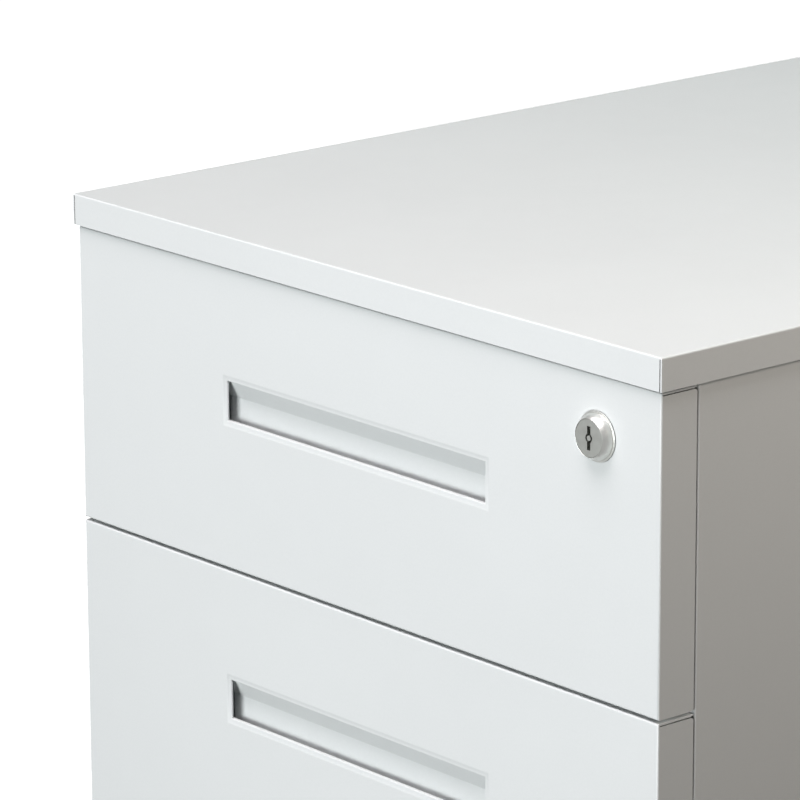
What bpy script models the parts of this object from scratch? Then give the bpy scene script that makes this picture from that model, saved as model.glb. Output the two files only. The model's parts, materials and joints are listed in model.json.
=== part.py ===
"""A three-drawer filing cabinet on castors, in folded sheet steel, with every piece its own solid.

Metres, +Z up. X runs across the cabinet, the drawers face -Y, and the origin is on the floor
under the middle of the whole object. Left and right are as seen from the front.
"""

import math

import bmesh
import bpy
from mathutils import Matrix
from mathutils import Vector

# The cabinet as a whole.
WIDTH = 0.390
DEPTH = 0.500
HEIGHT = 0.620
BODY_BOTTOM = 0.058
LOCK_PROUD = 0.0034
SHEET = 0.0008
FOLD_RADIUS = 0.0012
FOLD_STEPS = 2
CLEARANCE = 0.0003

# Top panel: a pan turned upside down. Its front and back flanges stop short of the side flanges.
TOP_HEIGHT = 0.0145
TOP_SEAM_SETBACK = 0.0009
TOP_SEAM_WIDTH = 0.0005

# Drawer fronts.
FRONT_INSET = 0.0018
FRONT_SETBACK = 0.0016
FRONT_DEPTH = 0.020
TOP_GAP = 0.0010
DRAWER_GAP = 0.0015
BOX_FRONT_HEIGHT = 0.1385
FILE_FRONT_RISE = 0.002
FRONT_SEAM = 0.0004

# Recessed pull.
PULL_WIDTH = 0.1726
PULL_HEIGHT = 0.0182
PULL_DROP = 0.0517
PULL_BORDER = 0.0029
PULL_DISH = 0.00035
PULL_ROLL_RADIUS = 0.0005
PULL_ROLL_STEPS = 3
PULL_PRESS = 0.0020
CUP_BACK_DEPTH = 0.0071
CUP_SLOPE_DROP = 0.0088
CUP_POCKET_DROP = 0.014
CUP_FLANGE = 0.006
CUP_OVERLAP = 0.006

# Columns folded into the side panels, and the pieces between them.
COLUMN_WIDTH = 0.007
COLUMN_FRONT_DEPTH = 0.025
COLUMN_BACK_DEPTH = 0.040
COLUMN_GAP = 0.0007
PANEL_LIP = 0.0014
BASE_TOP = 0.0745
BACK_FLANGE = 0.015
RAIL_DEPTH = 0.025
RAIL_HEIGHT = 0.021
LINER_DEPTH = 0.012

# Drawer trays.
TRAY_LENGTH = 0.441
TRAY_LIFT = 0.010
FILE_TRAY_LIFT = 0.018
BOX_TRAY_HEIGHT = 0.084
FILE_TRAY_HEIGHT = 0.207
TRAY_RIM = 0.006
FILE_RAIL_LENGTH = 0.420
FILE_RAIL_LAP = 0.016
FILE_RAIL_RISE = 0.012
FILE_RAIL_LEDGE = 0.004
FILE_RAIL_SHEET = 0.0015

# Telescopic slides: half height, then the channel's start and end, from the column inwards.
SLIDE_LENGTH = 0.450
SLIDE_WIDTH = 0.0127
SLIDE_SHEET = 0.0012
SLIDE_FRONT_GAP = 0.0015
SLIDE_LIFT = 0.035
CABINET_MEMBER = (0.0225, 0.0, 0.0095)
MIDDLE_MEMBER = (0.0198, 0.0026, 0.0110)
DRAWER_MEMBER = (0.0169, SLIDE_WIDTH, 0.0050)

# Lock.
LOCK_X = 0.1558
LOCK_DROP = 0.0255
BEZEL_RADIUS = 0.0109
BEZEL_RIM = 0.0007
BEZEL_FOOT = 0.0012
BEZEL_WALL_RADIUS = 0.0097
BEZEL_PROUD = 0.0050
BARREL_RADIUS = 0.0090
BARREL_LENGTH = 0.0238
LOCK_FACE_PROUD = 0.0045
PLUG_RADIUS = 0.0075
TAIL_RADIUS = 0.0035
TAIL_LENGTH = 0.0280
NUT_RADIUS = 0.0125
NUT_THICKNESS = 0.0025
KEYWAY_LENGTH = 0.0102
KEYWAY_WIDTH = 0.0020
KEYWAY_DEPTH = 0.0030
KEYWAY_CORE_RADIUS = 0.0020
KEYWAY_PIN_RADIUS = 0.0011
CAM_WIDTH = 0.0090
CAM_THICKNESS = 0.0020
CAM_REACH = 0.0340
CAM_SETBACK = 0.0042
BAR_TRAVEL = 0.008
BAR_THICKNESS = 0.0018
BAR_WIDTH = 0.014

# Castors.
CASTOR_X = 0.140
CASTOR_INSET = 0.062
CASTOR_TRAIL = 0.018
WHEEL_RADIUS = 0.025
WHEEL_WIDTH = 0.020
WHEEL_STEPS = 28
HUB_WIDTH = 0.022
PLATE_SIZE = 0.060
PLATE_THICKNESS = 0.0025
RACEWAY_RADIUS = 0.017
RACEWAY_HEIGHT = 0.004
KINGPIN_RADIUS = 0.004
KINGPIN_LENGTH = 0.0109
FORK_SHEET = 0.0025
FORK_GAP = 0.023
FORK_LENGTH = 0.026
FORK_FOOT_LENGTH = 0.016

# Places that follow from the sizes above.
TOP_FRONT_Y = (LOCK_PROUD - DEPTH) / 2
TOP_BACK_Y = TOP_FRONT_Y + DEPTH
TOP_BOTTOM = HEIGHT - TOP_HEIGHT
UNDER_TOP = HEIGHT - SHEET - CLEARANCE
BODY_X = WIDTH / 2 - FRONT_INSET
COLUMN_X = BODY_X - COLUMN_WIDTH
FACE_Y = TOP_FRONT_Y + FRONT_SETBACK
FACE_BACK_Y = FACE_Y + FRONT_DEPTH
BODY_FRONT_Y = FACE_BACK_Y + COLUMN_GAP
BODY_BACK_Y = TOP_BACK_Y - FRONT_INSET
TRAY_X = COLUMN_X - SLIDE_WIDTH - 2 * CLEARANCE
TRAY_FRONT_Y = FACE_BACK_Y + CLEARANCE
LOCK_Z = TOP_BOTTOM - TOP_GAP - LOCK_DROP
LOCK_CENTRE = Vector((LOCK_X, FACE_Y, LOCK_Z))
CAM_Y = FACE_BACK_Y + CAM_SETBACK
WHEEL_CENTRE_Z = WHEEL_RADIUS * math.cos(math.pi / WHEEL_STEPS)
PLATE_BOTTOM = BASE_TOP - SHEET - CLEARANCE - PLATE_THICKNESS
FORK_TOP = PLATE_BOTTOM - RACEWAY_HEIGHT - CLEARANCE

SIDES = (("left", -1), ("right", 1))


# Scene and materials.

def clear_scene():
    """Remove every object, and make the two collections."""
    for obj in list(bpy.data.objects):
        bpy.data.objects.remove(obj, do_unlink=True)
    for name in ("filing_cabinet", "cutters"):
        collection = bpy.data.collections.new(name)
        bpy.context.scene.collection.children.link(collection)


def finish(name, colour, roughness, metallic):
    """Return a Principled BSDF material with one colour."""
    material = bpy.data.materials.new(name)
    material.use_nodes = True
    shader = material.node_tree.nodes["Principled BSDF"]
    shader.inputs["Base Color"].default_value = (*colour, 1.0)
    shader.inputs["Roughness"].default_value = roughness
    shader.inputs["Metallic"].default_value = metallic
    material.diffuse_color = (*colour, 1.0)
    return material


def white_powder_coat(name):
    return finish(name + "_powder_coat", (0.79, 0.81, 0.81), 0.45, 0.0)


def galvanised_steel(name):
    return finish(name + "_galvanised", (0.62, 0.64, 0.66), 0.38, 1.0)


def satin_nickel(name):
    return finish(name + "_nickel", (0.66, 0.63, 0.58), 0.28, 1.0)


def black_rubber(name):
    return finish(name + "_rubber", (0.03, 0.03, 0.032), 0.75, 0.0)


def black_steel(name):
    return finish(name + "_black_steel", (0.05, 0.05, 0.055), 0.45, 0.6)


# Making objects.

def world_origin(obj):
    """Return where an object stands, adding up its parents' places."""
    place = Vector((0.0, 0.0, 0.0))
    while obj is not None:
        place += obj.location
        obj = obj.parent
    return place


def joint_empty(name, origin, parent=None):
    """Return an empty on a joint's axis, which the moving pieces hang from."""
    empty = bpy.data.objects.new(name, None)
    bpy.data.collections["filing_cabinet"].objects.link(empty)
    empty.empty_display_size = 0.03
    empty.parent = parent
    empty.location = Vector(origin) - world_origin(parent)
    return empty


def add_piece(name, bm, origin, parent, material_maker):
    """Turn a mesh built at its place into an object whose origin is given."""
    bmesh.ops.translate(bm, vec=-Vector(origin), verts=bm.verts)
    mesh = bpy.data.meshes.new(name)
    bm.to_mesh(mesh)
    bm.free()
    mesh.materials.append(material_maker(name))
    obj = bpy.data.objects.new(name, mesh)
    bpy.data.collections["filing_cabinet"].objects.link(obj)
    obj.parent = parent
    obj.location = Vector(origin) - world_origin(parent)
    return obj


def add_cutter(obj, name, bm, operation="DIFFERENCE"):
    """Cut an object with a mesh built at its place, or join the mesh to it."""
    mesh = bpy.data.meshes.new(name)
    bm.to_mesh(mesh)
    bm.free()
    cutter = bpy.data.objects.new(name, mesh)
    bpy.data.collections["cutters"].objects.link(cutter)
    cutter.hide_render = True
    cutter.display_type = "WIRE"
    boolean = obj.modifiers.new(name, "BOOLEAN")
    boolean.operation = operation
    boolean.solver = "EXACT"
    boolean.object = cutter


def add_folds(obj, radius=FOLD_RADIUS, steps=FOLD_STEPS):
    """Round the edges that carry a bevel weight."""
    bevel = obj.modifiers.new("folds", "BEVEL")
    bevel.limit_method = "WEIGHT"
    bevel.width = radius
    bevel.segments = steps


def add_sheet(obj, thickness=SHEET, side=-1.0):
    """Give an open surface the thickness of the sheet, inwards unless side is 1."""
    solidify = obj.modifiers.new("sheet", "SOLIDIFY")
    solidify.thickness = thickness
    solidify.offset = side
    solidify.use_even_offset = True
    solidify.use_quality_normals = True


def shade_round(obj):
    """Shade smoothly across a turned surface and keep its edges sharp."""
    obj.data.shade_smooth()
    obj.data.set_sharp_from_angle(angle=math.radians(35))


# Mesh building blocks.

def box_mesh(*spans):
    """Return boxes, each given by its lowest and its highest corner."""
    bm = bmesh.new()
    for low, high in spans:
        low = Vector(low)
        high = Vector(high)
        middle = Matrix.Translation((low + high) / 2)
        size = Matrix.Diagonal((high - low).to_4d())
        size[3][3] = 1.0
        bmesh.ops.create_cube(bm, size=1.0, matrix=middle @ size)
    return bm


def rod_mesh(start, end, radius, steps):
    """Return a closed cylinder between two points."""
    start = Vector(start)
    end = Vector(end)
    along = end - start
    turn = Vector((0.0, 0.0, 1.0)).rotation_difference(along).to_matrix().to_4x4()
    place = Matrix.Translation((start + end) / 2) @ turn
    bm = bmesh.new()
    bmesh.ops.create_cone(
        bm, cap_ends=True, segments=steps, radius1=radius, radius2=radius, depth=along.length, matrix=place
    )
    return bm


def open_sides(bm, *directions):
    """Delete the faces that look in the given directions."""
    bm.normal_update()
    doomed = [
        face for face in bm.faces
        if any(face.normal.dot(Vector(direction)) > 0.99 for direction in directions)
    ]
    bmesh.ops.delete(bm, geom=doomed, context="FACES")


def lies_at(edge, axis, value):
    """Tell whether an edge lies in the plane where one coordinate has a value."""
    return all(abs(vert.co[axis] - value) < 1e-6 for vert in edge.verts)


def mark_folds(bm, is_fold=lambda edge: True):
    """Give a bevel weight to the inner edges that are folds."""
    weight = bm.edges.layers.float.new("bevel_weight_edge")
    for edge in bm.edges:
        if len(edge.link_faces) == 2 and is_fold(edge):
            edge[weight] = 1.0


def folded_strip(outline, run):
    """Sweep an outline along a run, with the metal on the left as seen along the run."""
    bm = bmesh.new()
    verts = [bm.verts.new(point) for point in outline]
    edges = [bm.edges.new(pair) for pair in zip(verts, verts[1:])]
    swept = bmesh.ops.extrude_edge_only(bm, edges=edges)["geom"]
    moved = [item for item in swept if isinstance(item, bmesh.types.BMVert)]
    bmesh.ops.translate(bm, vec=run, verts=moved)
    bm.normal_update()
    first = Vector(outline[1]) - Vector(outline[0])
    metal_side = Vector(run).cross(first)
    touching = next(face for face in bm.faces if verts[0] in face.verts)
    if touching.normal.dot(metal_side) > 0:
        bmesh.ops.reverse_faces(bm, faces=bm.faces)
    return bm


def mirrored(points, side):
    """Return points for one side of the cabinet: as given, or mirrored and in reverse order."""
    if side > 0:
        return points
    return [(-x, y, z) for x, y, z in reversed(points)]


def turned_piece(name, profile, steps, origin, rotation, parent, material_maker, start_angle=0.0):
    """Turn a profile of (radius, height) points about local Z; it runs down the outer side."""
    bm = bmesh.new()
    spoke = Vector((math.cos(start_angle), math.sin(start_angle), 0.0))
    verts = [bm.verts.new(spoke * radius + Vector((0.0, 0.0, height))) for radius, height in profile]
    pairs = list(zip(verts, verts[1:]))
    if profile[0][0] > 0.0:
        pairs.append((verts[-1], verts[0]))
    for pair in pairs:
        bm.edges.new(pair)
    obj = add_piece(name, bm, (0.0, 0.0, 0.0), None, material_maker)
    screw = obj.modifiers.new("turning", "SCREW")
    screw.steps = steps
    screw.render_steps = steps
    screw.use_merge_vertices = True
    screw.merge_threshold = 0.00001
    bpy.context.view_layer.update()
    evaluated = obj.evaluated_get(bpy.context.evaluated_depsgraph_get())
    profile_mesh = obj.data
    obj.data = bpy.data.meshes.new_from_object(evaluated)
    obj.modifiers.clear()
    bpy.data.meshes.remove(profile_mesh)
    obj.data.name = name
    shade_round(obj)
    obj.rotation_euler = rotation
    obj.parent = parent
    obj.location = Vector(origin) - world_origin(parent)
    return obj


# Cabinet body.

def top_panel(cabinet):
    low = (-WIDTH / 2, TOP_FRONT_Y, TOP_BOTTOM)
    high = (WIDTH / 2, TOP_BACK_Y, HEIGHT)
    bm = box_mesh((low, high))
    open_sides(bm, (0, 0, -1))
    mark_folds(bm, lambda edge: lies_at(edge, 2, HEIGHT))
    obj = add_piece("top_panel", bm, (0.0, 0.0, HEIGHT), cabinet, white_powder_coat)
    add_folds(obj)
    add_sheet(obj)
    seams = []
    for side in (-1, 1):
        near = side * (WIDTH / 2 - TOP_SEAM_SETBACK)
        far = near - side * TOP_SEAM_WIDTH
        for flange_y in (TOP_FRONT_Y, TOP_BACK_Y):
            seams.append((
                (min(near, far), flange_y - 1.5 * SHEET, TOP_BOTTOM - SHEET),
                (max(near, far), flange_y + 1.5 * SHEET, HEIGHT - FOLD_RADIUS),
            ))
    add_cutter(obj, "top_panel_seams", box_mesh(*seams))


def side_panel(name, side, cabinet):
    """A side wall with a column folded in at its front and its back edge."""
    z = BODY_BOTTOM
    outline = [
        (COLUMN_X, BODY_FRONT_Y + COLUMN_FRONT_DEPTH, z),
        (COLUMN_X, BODY_FRONT_Y, z),
        (BODY_X, BODY_FRONT_Y, z),
        (BODY_X, BODY_BACK_Y, z),
        (COLUMN_X, BODY_BACK_Y, z),
        (COLUMN_X, BODY_BACK_Y - COLUMN_BACK_DEPTH, z),
    ]
    bm = folded_strip(mirrored(outline, side), (0, 0, UNDER_TOP - BODY_BOTTOM))
    mark_folds(bm)
    origin = (side * BODY_X, 0.0, BODY_BOTTOM)
    obj = add_piece("side_panel_" + name, bm, origin, cabinet, white_powder_coat)
    add_folds(obj)
    add_sheet(obj)
    notch_x = (side * (COLUMN_X - SHEET), side * (BODY_X - PANEL_LIP))
    notch_low = (min(notch_x), BODY_FRONT_Y - SHEET, BODY_BOTTOM - SHEET)
    notch_high = (max(notch_x), BODY_BACK_Y + SHEET, BASE_TOP + CLEARANCE)
    add_cutter(obj, "side_panel_" + name + "_base_notch", box_mesh((notch_low, notch_high)))
    return obj


def cut_cam_slot(right_panel):
    """Open the right column where the lock's cam swings into it."""
    low = (COLUMN_X - SHEET, CAM_Y - 0.0010, LOCK_Z - 0.0190)
    high = (COLUMN_X + 2 * SHEET, CAM_Y + CAM_THICKNESS + 0.0010, LOCK_Z + 0.0058)
    add_cutter(right_panel, "cam_slot", box_mesh((low, high)))


def back_panel(cabinet):
    half = COLUMN_X - CLEARANCE
    low = (-half, BODY_BACK_Y - BACK_FLANGE, BASE_TOP + CLEARANCE)
    high = (half, BODY_BACK_Y, UNDER_TOP)
    bm = box_mesh((low, high))
    open_sides(bm, (0, -1, 0))
    mark_folds(bm, lambda edge: lies_at(edge, 1, BODY_BACK_Y))
    obj = add_piece("back_panel", bm, (0.0, BODY_BACK_Y, BASE_TOP), cabinet, white_powder_coat)
    add_folds(obj)
    add_sheet(obj)


def base_panel(cabinet):
    half = BODY_X - PANEL_LIP - CLEARANCE
    low = (-half, BODY_FRONT_Y, BODY_BOTTOM)
    high = (half, BODY_BACK_Y, BASE_TOP)
    bm = box_mesh((low, high))
    open_sides(bm, (0, 0, -1))
    mark_folds(bm, lambda edge: lies_at(edge, 2, BASE_TOP))
    obj = add_piece("base_panel", bm, (0.0, 0.0, BASE_TOP), cabinet, white_powder_coat)
    add_folds(obj)
    add_sheet(obj)


def front_top_rail(cabinet):
    """A channel across the front, under the top panel."""
    x = -(COLUMN_X - CLEARANCE)
    back = BODY_FRONT_Y + RAIL_DEPTH
    bottom = UNDER_TOP - RAIL_HEIGHT
    outline = [
        (x, back, UNDER_TOP),
        (x, BODY_FRONT_Y, UNDER_TOP),
        (x, BODY_FRONT_Y, bottom),
        (x, back, bottom),
    ]
    bm = folded_strip(outline, (-2 * x, 0, 0))
    mark_folds(bm)
    obj = add_piece("front_top_rail", bm, (0.0, BODY_FRONT_Y, UNDER_TOP), cabinet, white_powder_coat)
    add_folds(obj)
    add_sheet(obj)


# Drawers.

def drawer_spans():
    """Return the bottom and the top of each drawer front, from the top drawer down."""
    spans = []
    top = TOP_BOTTOM - TOP_GAP
    for _ in range(2):
        spans.append((top - BOX_FRONT_HEIGHT, top))
        top -= BOX_FRONT_HEIGHT + DRAWER_GAP
    spans.append((BODY_BOTTOM + FILE_FRONT_RISE, top))
    return spans


def press_pull_border(bm, top):
    """Dish a border into the front face, roll its edge inwards, and open the pull inside it."""
    half = PULL_WIDTH / 2 + PULL_BORDER
    upper = top - PULL_DROP + PULL_BORDER
    lower = top - PULL_DROP - PULL_HEIGHT - PULL_BORDER
    for axis, value in ((0, -half), (0, half), (2, lower), (2, upper)):
        plane = Vector((0.0, 0.0, 0.0))
        plane[axis] = value
        normal = Vector((0.0, 0.0, 0.0))
        normal[axis] = 1.0
        bm.normal_update()
        front = [face for face in bm.faces if face.normal.y < -0.99]
        around = set(front)
        for face in front:
            around.update(face.edges)
            around.update(face.verts)
        bmesh.ops.bisect_plane(bm, geom=list(around), plane_co=plane, plane_no=normal)
    bm.normal_update()
    field = next(
        face for face in bm.faces
        if face.normal.y < -0.99 and abs(face.calc_center_median().x) < half
        and lower < face.calc_center_median().z < upper
    )
    inset = 0.0
    depth = 0.0
    for next_inset, next_depth in border_profile():
        bmesh.ops.inset_region(
            bm, faces=[field], thickness=next_inset - inset, depth=depth - next_depth, use_even_offset=True
        )
        inset = next_inset
        depth = next_depth
    bmesh.ops.delete(bm, geom=[field], context="FACES")


def border_profile():
    """Return (inset, depth) points from the border's outline to the end of its rolled edge."""
    dish = PULL_BORDER - PULL_ROLL_RADIUS
    points = [(dish, PULL_DISH)]
    for step in range(1, PULL_ROLL_STEPS + 1):
        angle = math.pi / 2 * step / PULL_ROLL_STEPS
        points.append((
            dish + PULL_ROLL_RADIUS * math.sin(angle), PULL_DISH + PULL_ROLL_RADIUS * (1 - math.cos(angle))
        ))
    points[-1] = (PULL_BORDER, PULL_PRESS)
    return points


def drawer_front(name, bottom, top, drawer):
    """A pan with side returns, open corner seams and the pull's pressed opening."""
    low = (-BODY_X, FACE_Y, bottom)
    high = (BODY_X, FACE_BACK_Y, top)
    bm = box_mesh((low, high))
    open_sides(bm, (0, 1, 0))
    press_pull_border(bm, top)
    mark_folds(bm, lambda edge: lies_at(edge, 1, FACE_Y) and is_outer_edge(edge, bottom, top))
    obj = add_piece(name + "_front", bm, (0.0, FACE_Y, top), drawer, white_powder_coat)
    add_folds(obj)
    add_sheet(obj)
    seams = []
    for side in (-1, 1):
        inner = side * (BODY_X - 1.5 * SHEET)
        outer = side * (BODY_X + SHEET)
        for height in (bottom + SHEET, top - SHEET - FRONT_SEAM):
            seams.append((
                (min(inner, outer), FACE_Y + FOLD_RADIUS, height),
                (max(inner, outer), FACE_BACK_Y + SHEET, height + FRONT_SEAM),
            ))
    add_cutter(obj, name + "_front_seams", box_mesh(*seams))
    return obj


def is_outer_edge(edge, bottom, top):
    """Tell whether an edge runs along the outline of a drawer front."""
    return (
        lies_at(edge, 0, -BODY_X) or lies_at(edge, 0, BODY_X)
        or lies_at(edge, 2, bottom) or lies_at(edge, 2, top)
    )


def inner_panel(name, bottom, top, drawer):
    """A shallow pan that closes the back of a drawer front."""
    margin = SHEET + CLEARANCE
    low = (-BODY_X + margin, FACE_BACK_Y - LINER_DEPTH, bottom + margin)
    high = (BODY_X - margin, FACE_BACK_Y, top - margin)
    bm = box_mesh((low, high))
    open_sides(bm, (0, -1, 0))
    mark_folds(bm, lambda edge: lies_at(edge, 1, FACE_BACK_Y))
    obj = add_piece(name + "_inner_panel", bm, (0.0, FACE_BACK_Y, top), drawer, white_powder_coat)
    add_folds(obj)
    add_sheet(obj)
    return obj


def pull_cup(name, top, drawer):
    """The strip behind the pull opening: a slope, a flat back, and a pocket behind the lower lip."""
    half = PULL_WIDTH / 2 + CUP_OVERLAP
    mouth_y = FACE_Y + PULL_PRESS + CLEARANCE
    back_y = FACE_Y + CUP_BACK_DEPTH
    upper = top - PULL_DROP
    lower = upper - PULL_HEIGHT - CUP_POCKET_DROP
    outline = [
        (-half, mouth_y, upper),
        (-half, back_y, upper - CUP_SLOPE_DROP),
        (-half, back_y, lower),
        (-half, mouth_y, lower),
    ]
    bm = bmesh.new()
    end = bm.faces.new([bm.verts.new(point) for point in outline])
    swept = bmesh.ops.extrude_face_region(bm, geom=[end], use_keep_orig=True)["geom"]
    moved = [item for item in swept if isinstance(item, bmesh.types.BMVert)]
    bmesh.ops.translate(bm, vec=(2 * half, 0, 0), verts=moved)
    bmesh.ops.recalc_face_normals(bm, faces=bm.faces)
    open_sides(bm, (0, -1, 0), (-1, 0, 0), (1, 0, 0))
    rim = [edge for edge in bm.edges if lies_at(edge, 1, mouth_y)]
    flange = bmesh.ops.extrude_edge_only(bm, edges=rim)["geom"]
    for vert in flange:
        if isinstance(vert, bmesh.types.BMVert):
            vert.co.z += CUP_FLANGE if vert.co.z > (upper + lower) / 2 else -CUP_FLANGE
    obj = add_piece(name + "_pull_cup", bm, (0.0, mouth_y, upper), drawer, white_powder_coat)
    add_sheet(obj, side=1.0)


def tray(name, floor, height, drawer):
    """A sheet-steel box without a front, with its rim folded outwards."""
    back = TRAY_FRONT_Y + TRAY_LENGTH
    bm = box_mesh(((-TRAY_X, TRAY_FRONT_Y, floor), (TRAY_X, back, floor + height)))
    open_sides(bm, (0, 0, 1), (0, -1, 0))
    rim = [edge for edge in bm.edges if edge.is_boundary and lies_at(edge, 2, floor + height)]
    folded = bmesh.ops.extrude_edge_only(bm, edges=rim)["geom"]
    for vert in folded:
        if isinstance(vert, bmesh.types.BMVert):
            vert.co.x += math.copysign(TRAY_RIM, vert.co.x)
            if vert.co.y > 0.0:
                vert.co.y += TRAY_RIM
    obj = add_piece(name + "_tray", bm, (0.0, TRAY_FRONT_Y, floor), drawer, white_powder_coat)
    add_sheet(obj)
    return obj


def file_rail(name, side, floor, drawer):
    """A rail that stands above the deep tray's side and carries hanging folders."""
    x = TRAY_X - SHEET - CLEARANCE - FILE_RAIL_SHEET
    y = TRAY_FRONT_Y + (TRAY_LENGTH - FILE_RAIL_LENGTH) / 2
    rim = floor + FILE_TRAY_HEIGHT
    outline = [
        (x, y, rim - FILE_RAIL_LAP),
        (x, y, rim + FILE_RAIL_RISE),
        (x + FILE_RAIL_LEDGE, y, rim + FILE_RAIL_RISE),
    ]
    bm = folded_strip(mirrored(outline, side), (0, FILE_RAIL_LENGTH, 0))
    origin = (side * x, y, rim)
    obj = add_piece("file_rail_" + name, bm, origin, drawer, galvanised_steel)
    add_sheet(obj, thickness=FILE_RAIL_SHEET)


def slide_member(name, side, member, height, parent):
    """One channel of a telescopic slide, lying along Y beside the tray."""
    half_height, web, tip = member
    start = COLUMN_X - CLEARANCE
    y = BODY_FRONT_Y + SLIDE_FRONT_GAP
    web_x = start - web
    tip_x = start - tip
    upper = height + half_height
    lower = height - half_height
    outline = [(tip_x, y, upper), (web_x, y, upper), (web_x, y, lower), (tip_x, y, lower)]
    if tip_x > web_x:
        outline.reverse()
    bm = folded_strip(mirrored(outline, side), (0, SLIDE_LENGTH, 0))
    obj = add_piece(name, bm, (side * web_x, y, height), parent, galvanised_steel)
    add_sheet(obj, thickness=SLIDE_SHEET)


def slides(number, height, cabinet, drawer, middle):
    """The pair of three-member slides that carries one drawer."""
    for side_name, side in SIDES:
        name = "slide_" + str(number) + "_" + side_name
        slide_member(name + "_cabinet_member", side, CABINET_MEMBER, height, cabinet)
        slide_member(name + "_middle_member", side, MIDDLE_MEMBER, height, middle)
        slide_member(name + "_drawer_member", side, DRAWER_MEMBER, height, drawer)


# Lock.

def lock_hole(piece, name, radius):
    """Open a sheet piece round the lock's barrel."""
    start = LOCK_CENTRE - Vector((0, SHEET * 2, 0))
    end = LOCK_CENTRE + Vector((0, FRONT_DEPTH + SHEET * 2, 0))
    add_cutter(piece, name, rod_mesh(start, end, radius, 32))


def lock_housing(drawer):
    """The fixed barrel, with a thin rim and a round-shouldered ring about the plug."""
    bore = PLUG_RADIUS + CLEARANCE
    shoulder = BEZEL_WALL_RADIUS - bore
    arc = [
        (bore + shoulder * math.sin(angle), BEZEL_PROUD - shoulder * (1 - math.cos(angle)))
        for angle in (math.radians(degrees) for degrees in (30, 60, 90))
    ]
    profile = [(bore, BEZEL_PROUD)] + arc + [
        (BEZEL_WALL_RADIUS, BEZEL_FOOT),
        (BEZEL_WALL_RADIUS + BEZEL_FOOT - BEZEL_RIM, BEZEL_RIM),
        (BEZEL_RADIUS, BEZEL_RIM),
        (BEZEL_RADIUS, CLEARANCE),
        (BARREL_RADIUS, CLEARANCE),
        (BARREL_RADIUS, -BARREL_LENGTH),
        (bore, -BARREL_LENGTH),
    ]
    turned_piece("lock_housing", profile, 40, LOCK_CENTRE, (math.pi / 2, 0, 0), drawer, satin_nickel)


def lock_nut(drawer):
    """The hexagonal nut that clamps the barrel behind the inner panel."""
    start = Vector((LOCK_X, FACE_BACK_Y + CLEARANCE, LOCK_Z))
    end = start + Vector((0, NUT_THICKNESS, 0))
    obj = add_piece("lock_nut", rod_mesh(start, end, NUT_RADIUS, 6), start, drawer, galvanised_steel)
    hole = rod_mesh(start - Vector((0, SHEET, 0)), end + Vector((0, SHEET, 0)), BARREL_RADIUS + CLEARANCE, 32)
    add_cutter(obj, "lock_nut_bore", hole)


def lock_plug(lock):
    """The part that the key turns, with its keyway and its tail."""
    face = LOCK_FACE_PROUD
    profile = [
        (0.0, face),
        (PLUG_RADIUS, face),
        (PLUG_RADIUS, -BARREL_LENGTH - CLEARANCE),
        (TAIL_RADIUS, -BARREL_LENGTH - CLEARANCE),
        (TAIL_RADIUS, -TAIL_LENGTH),
        (0.0, -TAIL_LENGTH),
    ]
    obj = turned_piece("lock_plug", profile, 40, LOCK_CENTRE, (math.pi / 2, 0, 0), lock, satin_nickel)
    outer_y = FACE_Y - face - SHEET
    inner_y = FACE_Y - face + KEYWAY_DEPTH
    near = KEYWAY_CORE_RADIUS * 0.8
    slots = [
        (
            (LOCK_X - KEYWAY_WIDTH / 2, outer_y, LOCK_Z + low),
            (LOCK_X + KEYWAY_WIDTH / 2, inner_y, LOCK_Z + high),
        )
        for low, high in ((near, KEYWAY_LENGTH / 2), (-KEYWAY_LENGTH / 2, -near))
    ]
    add_cutter(obj, "keyway_slots", box_mesh(*slots))
    add_cutter(obj, "keyway_ring", ring_mesh(outer_y, inner_y))


def ring_mesh(start_y, end_y):
    """Return the ring-shaped recess round the keyway's pin."""
    bm = bmesh.new()
    steps = 20
    corners = (
        (KEYWAY_PIN_RADIUS, start_y),
        (KEYWAY_CORE_RADIUS, start_y),
        (KEYWAY_CORE_RADIUS, end_y),
        (KEYWAY_PIN_RADIUS, end_y),
    )
    verts = [bm.verts.new((LOCK_X + radius, y, LOCK_Z)) for radius, y in corners]
    edges = [bm.edges.new((verts[i], verts[(i + 1) % 4])) for i in range(4)]
    bmesh.ops.spin(
        bm, geom=verts + edges, cent=(LOCK_X, 0, LOCK_Z), axis=(0, 1, 0),
        angle=2 * math.pi, steps=steps, use_merge=True
    )
    bmesh.ops.remove_doubles(bm, verts=bm.verts, dist=0.00001)
    bmesh.ops.recalc_face_normals(bm, faces=bm.faces)
    return bm


def lock_cam(lock):
    """The arm on the plug's tail, which hangs down while the cabinet is unlocked."""
    half = CAM_WIDTH / 2
    low = (LOCK_X - half, CAM_Y, LOCK_Z - CAM_REACH)
    high = (LOCK_X + half, CAM_Y + CAM_THICKNESS, LOCK_Z + half)
    bm = box_mesh((low, high))
    mark_folds(bm, lambda edge: abs((edge.verts[0].co - edge.verts[1].co).y) > CAM_THICKNESS / 2)
    obj = add_piece("lock_cam", bm, (LOCK_X, CAM_Y, LOCK_Z), lock, galvanised_steel)
    add_folds(obj, radius=0.0025, steps=3)
    start = Vector((LOCK_X, CAM_Y - SHEET, LOCK_Z))
    end = Vector((LOCK_X, CAM_Y + CAM_THICKNESS + SHEET, LOCK_Z))
    add_cutter(obj, "lock_cam_bore", rod_mesh(start, end, TAIL_RADIUS + CLEARANCE, 24))


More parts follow.
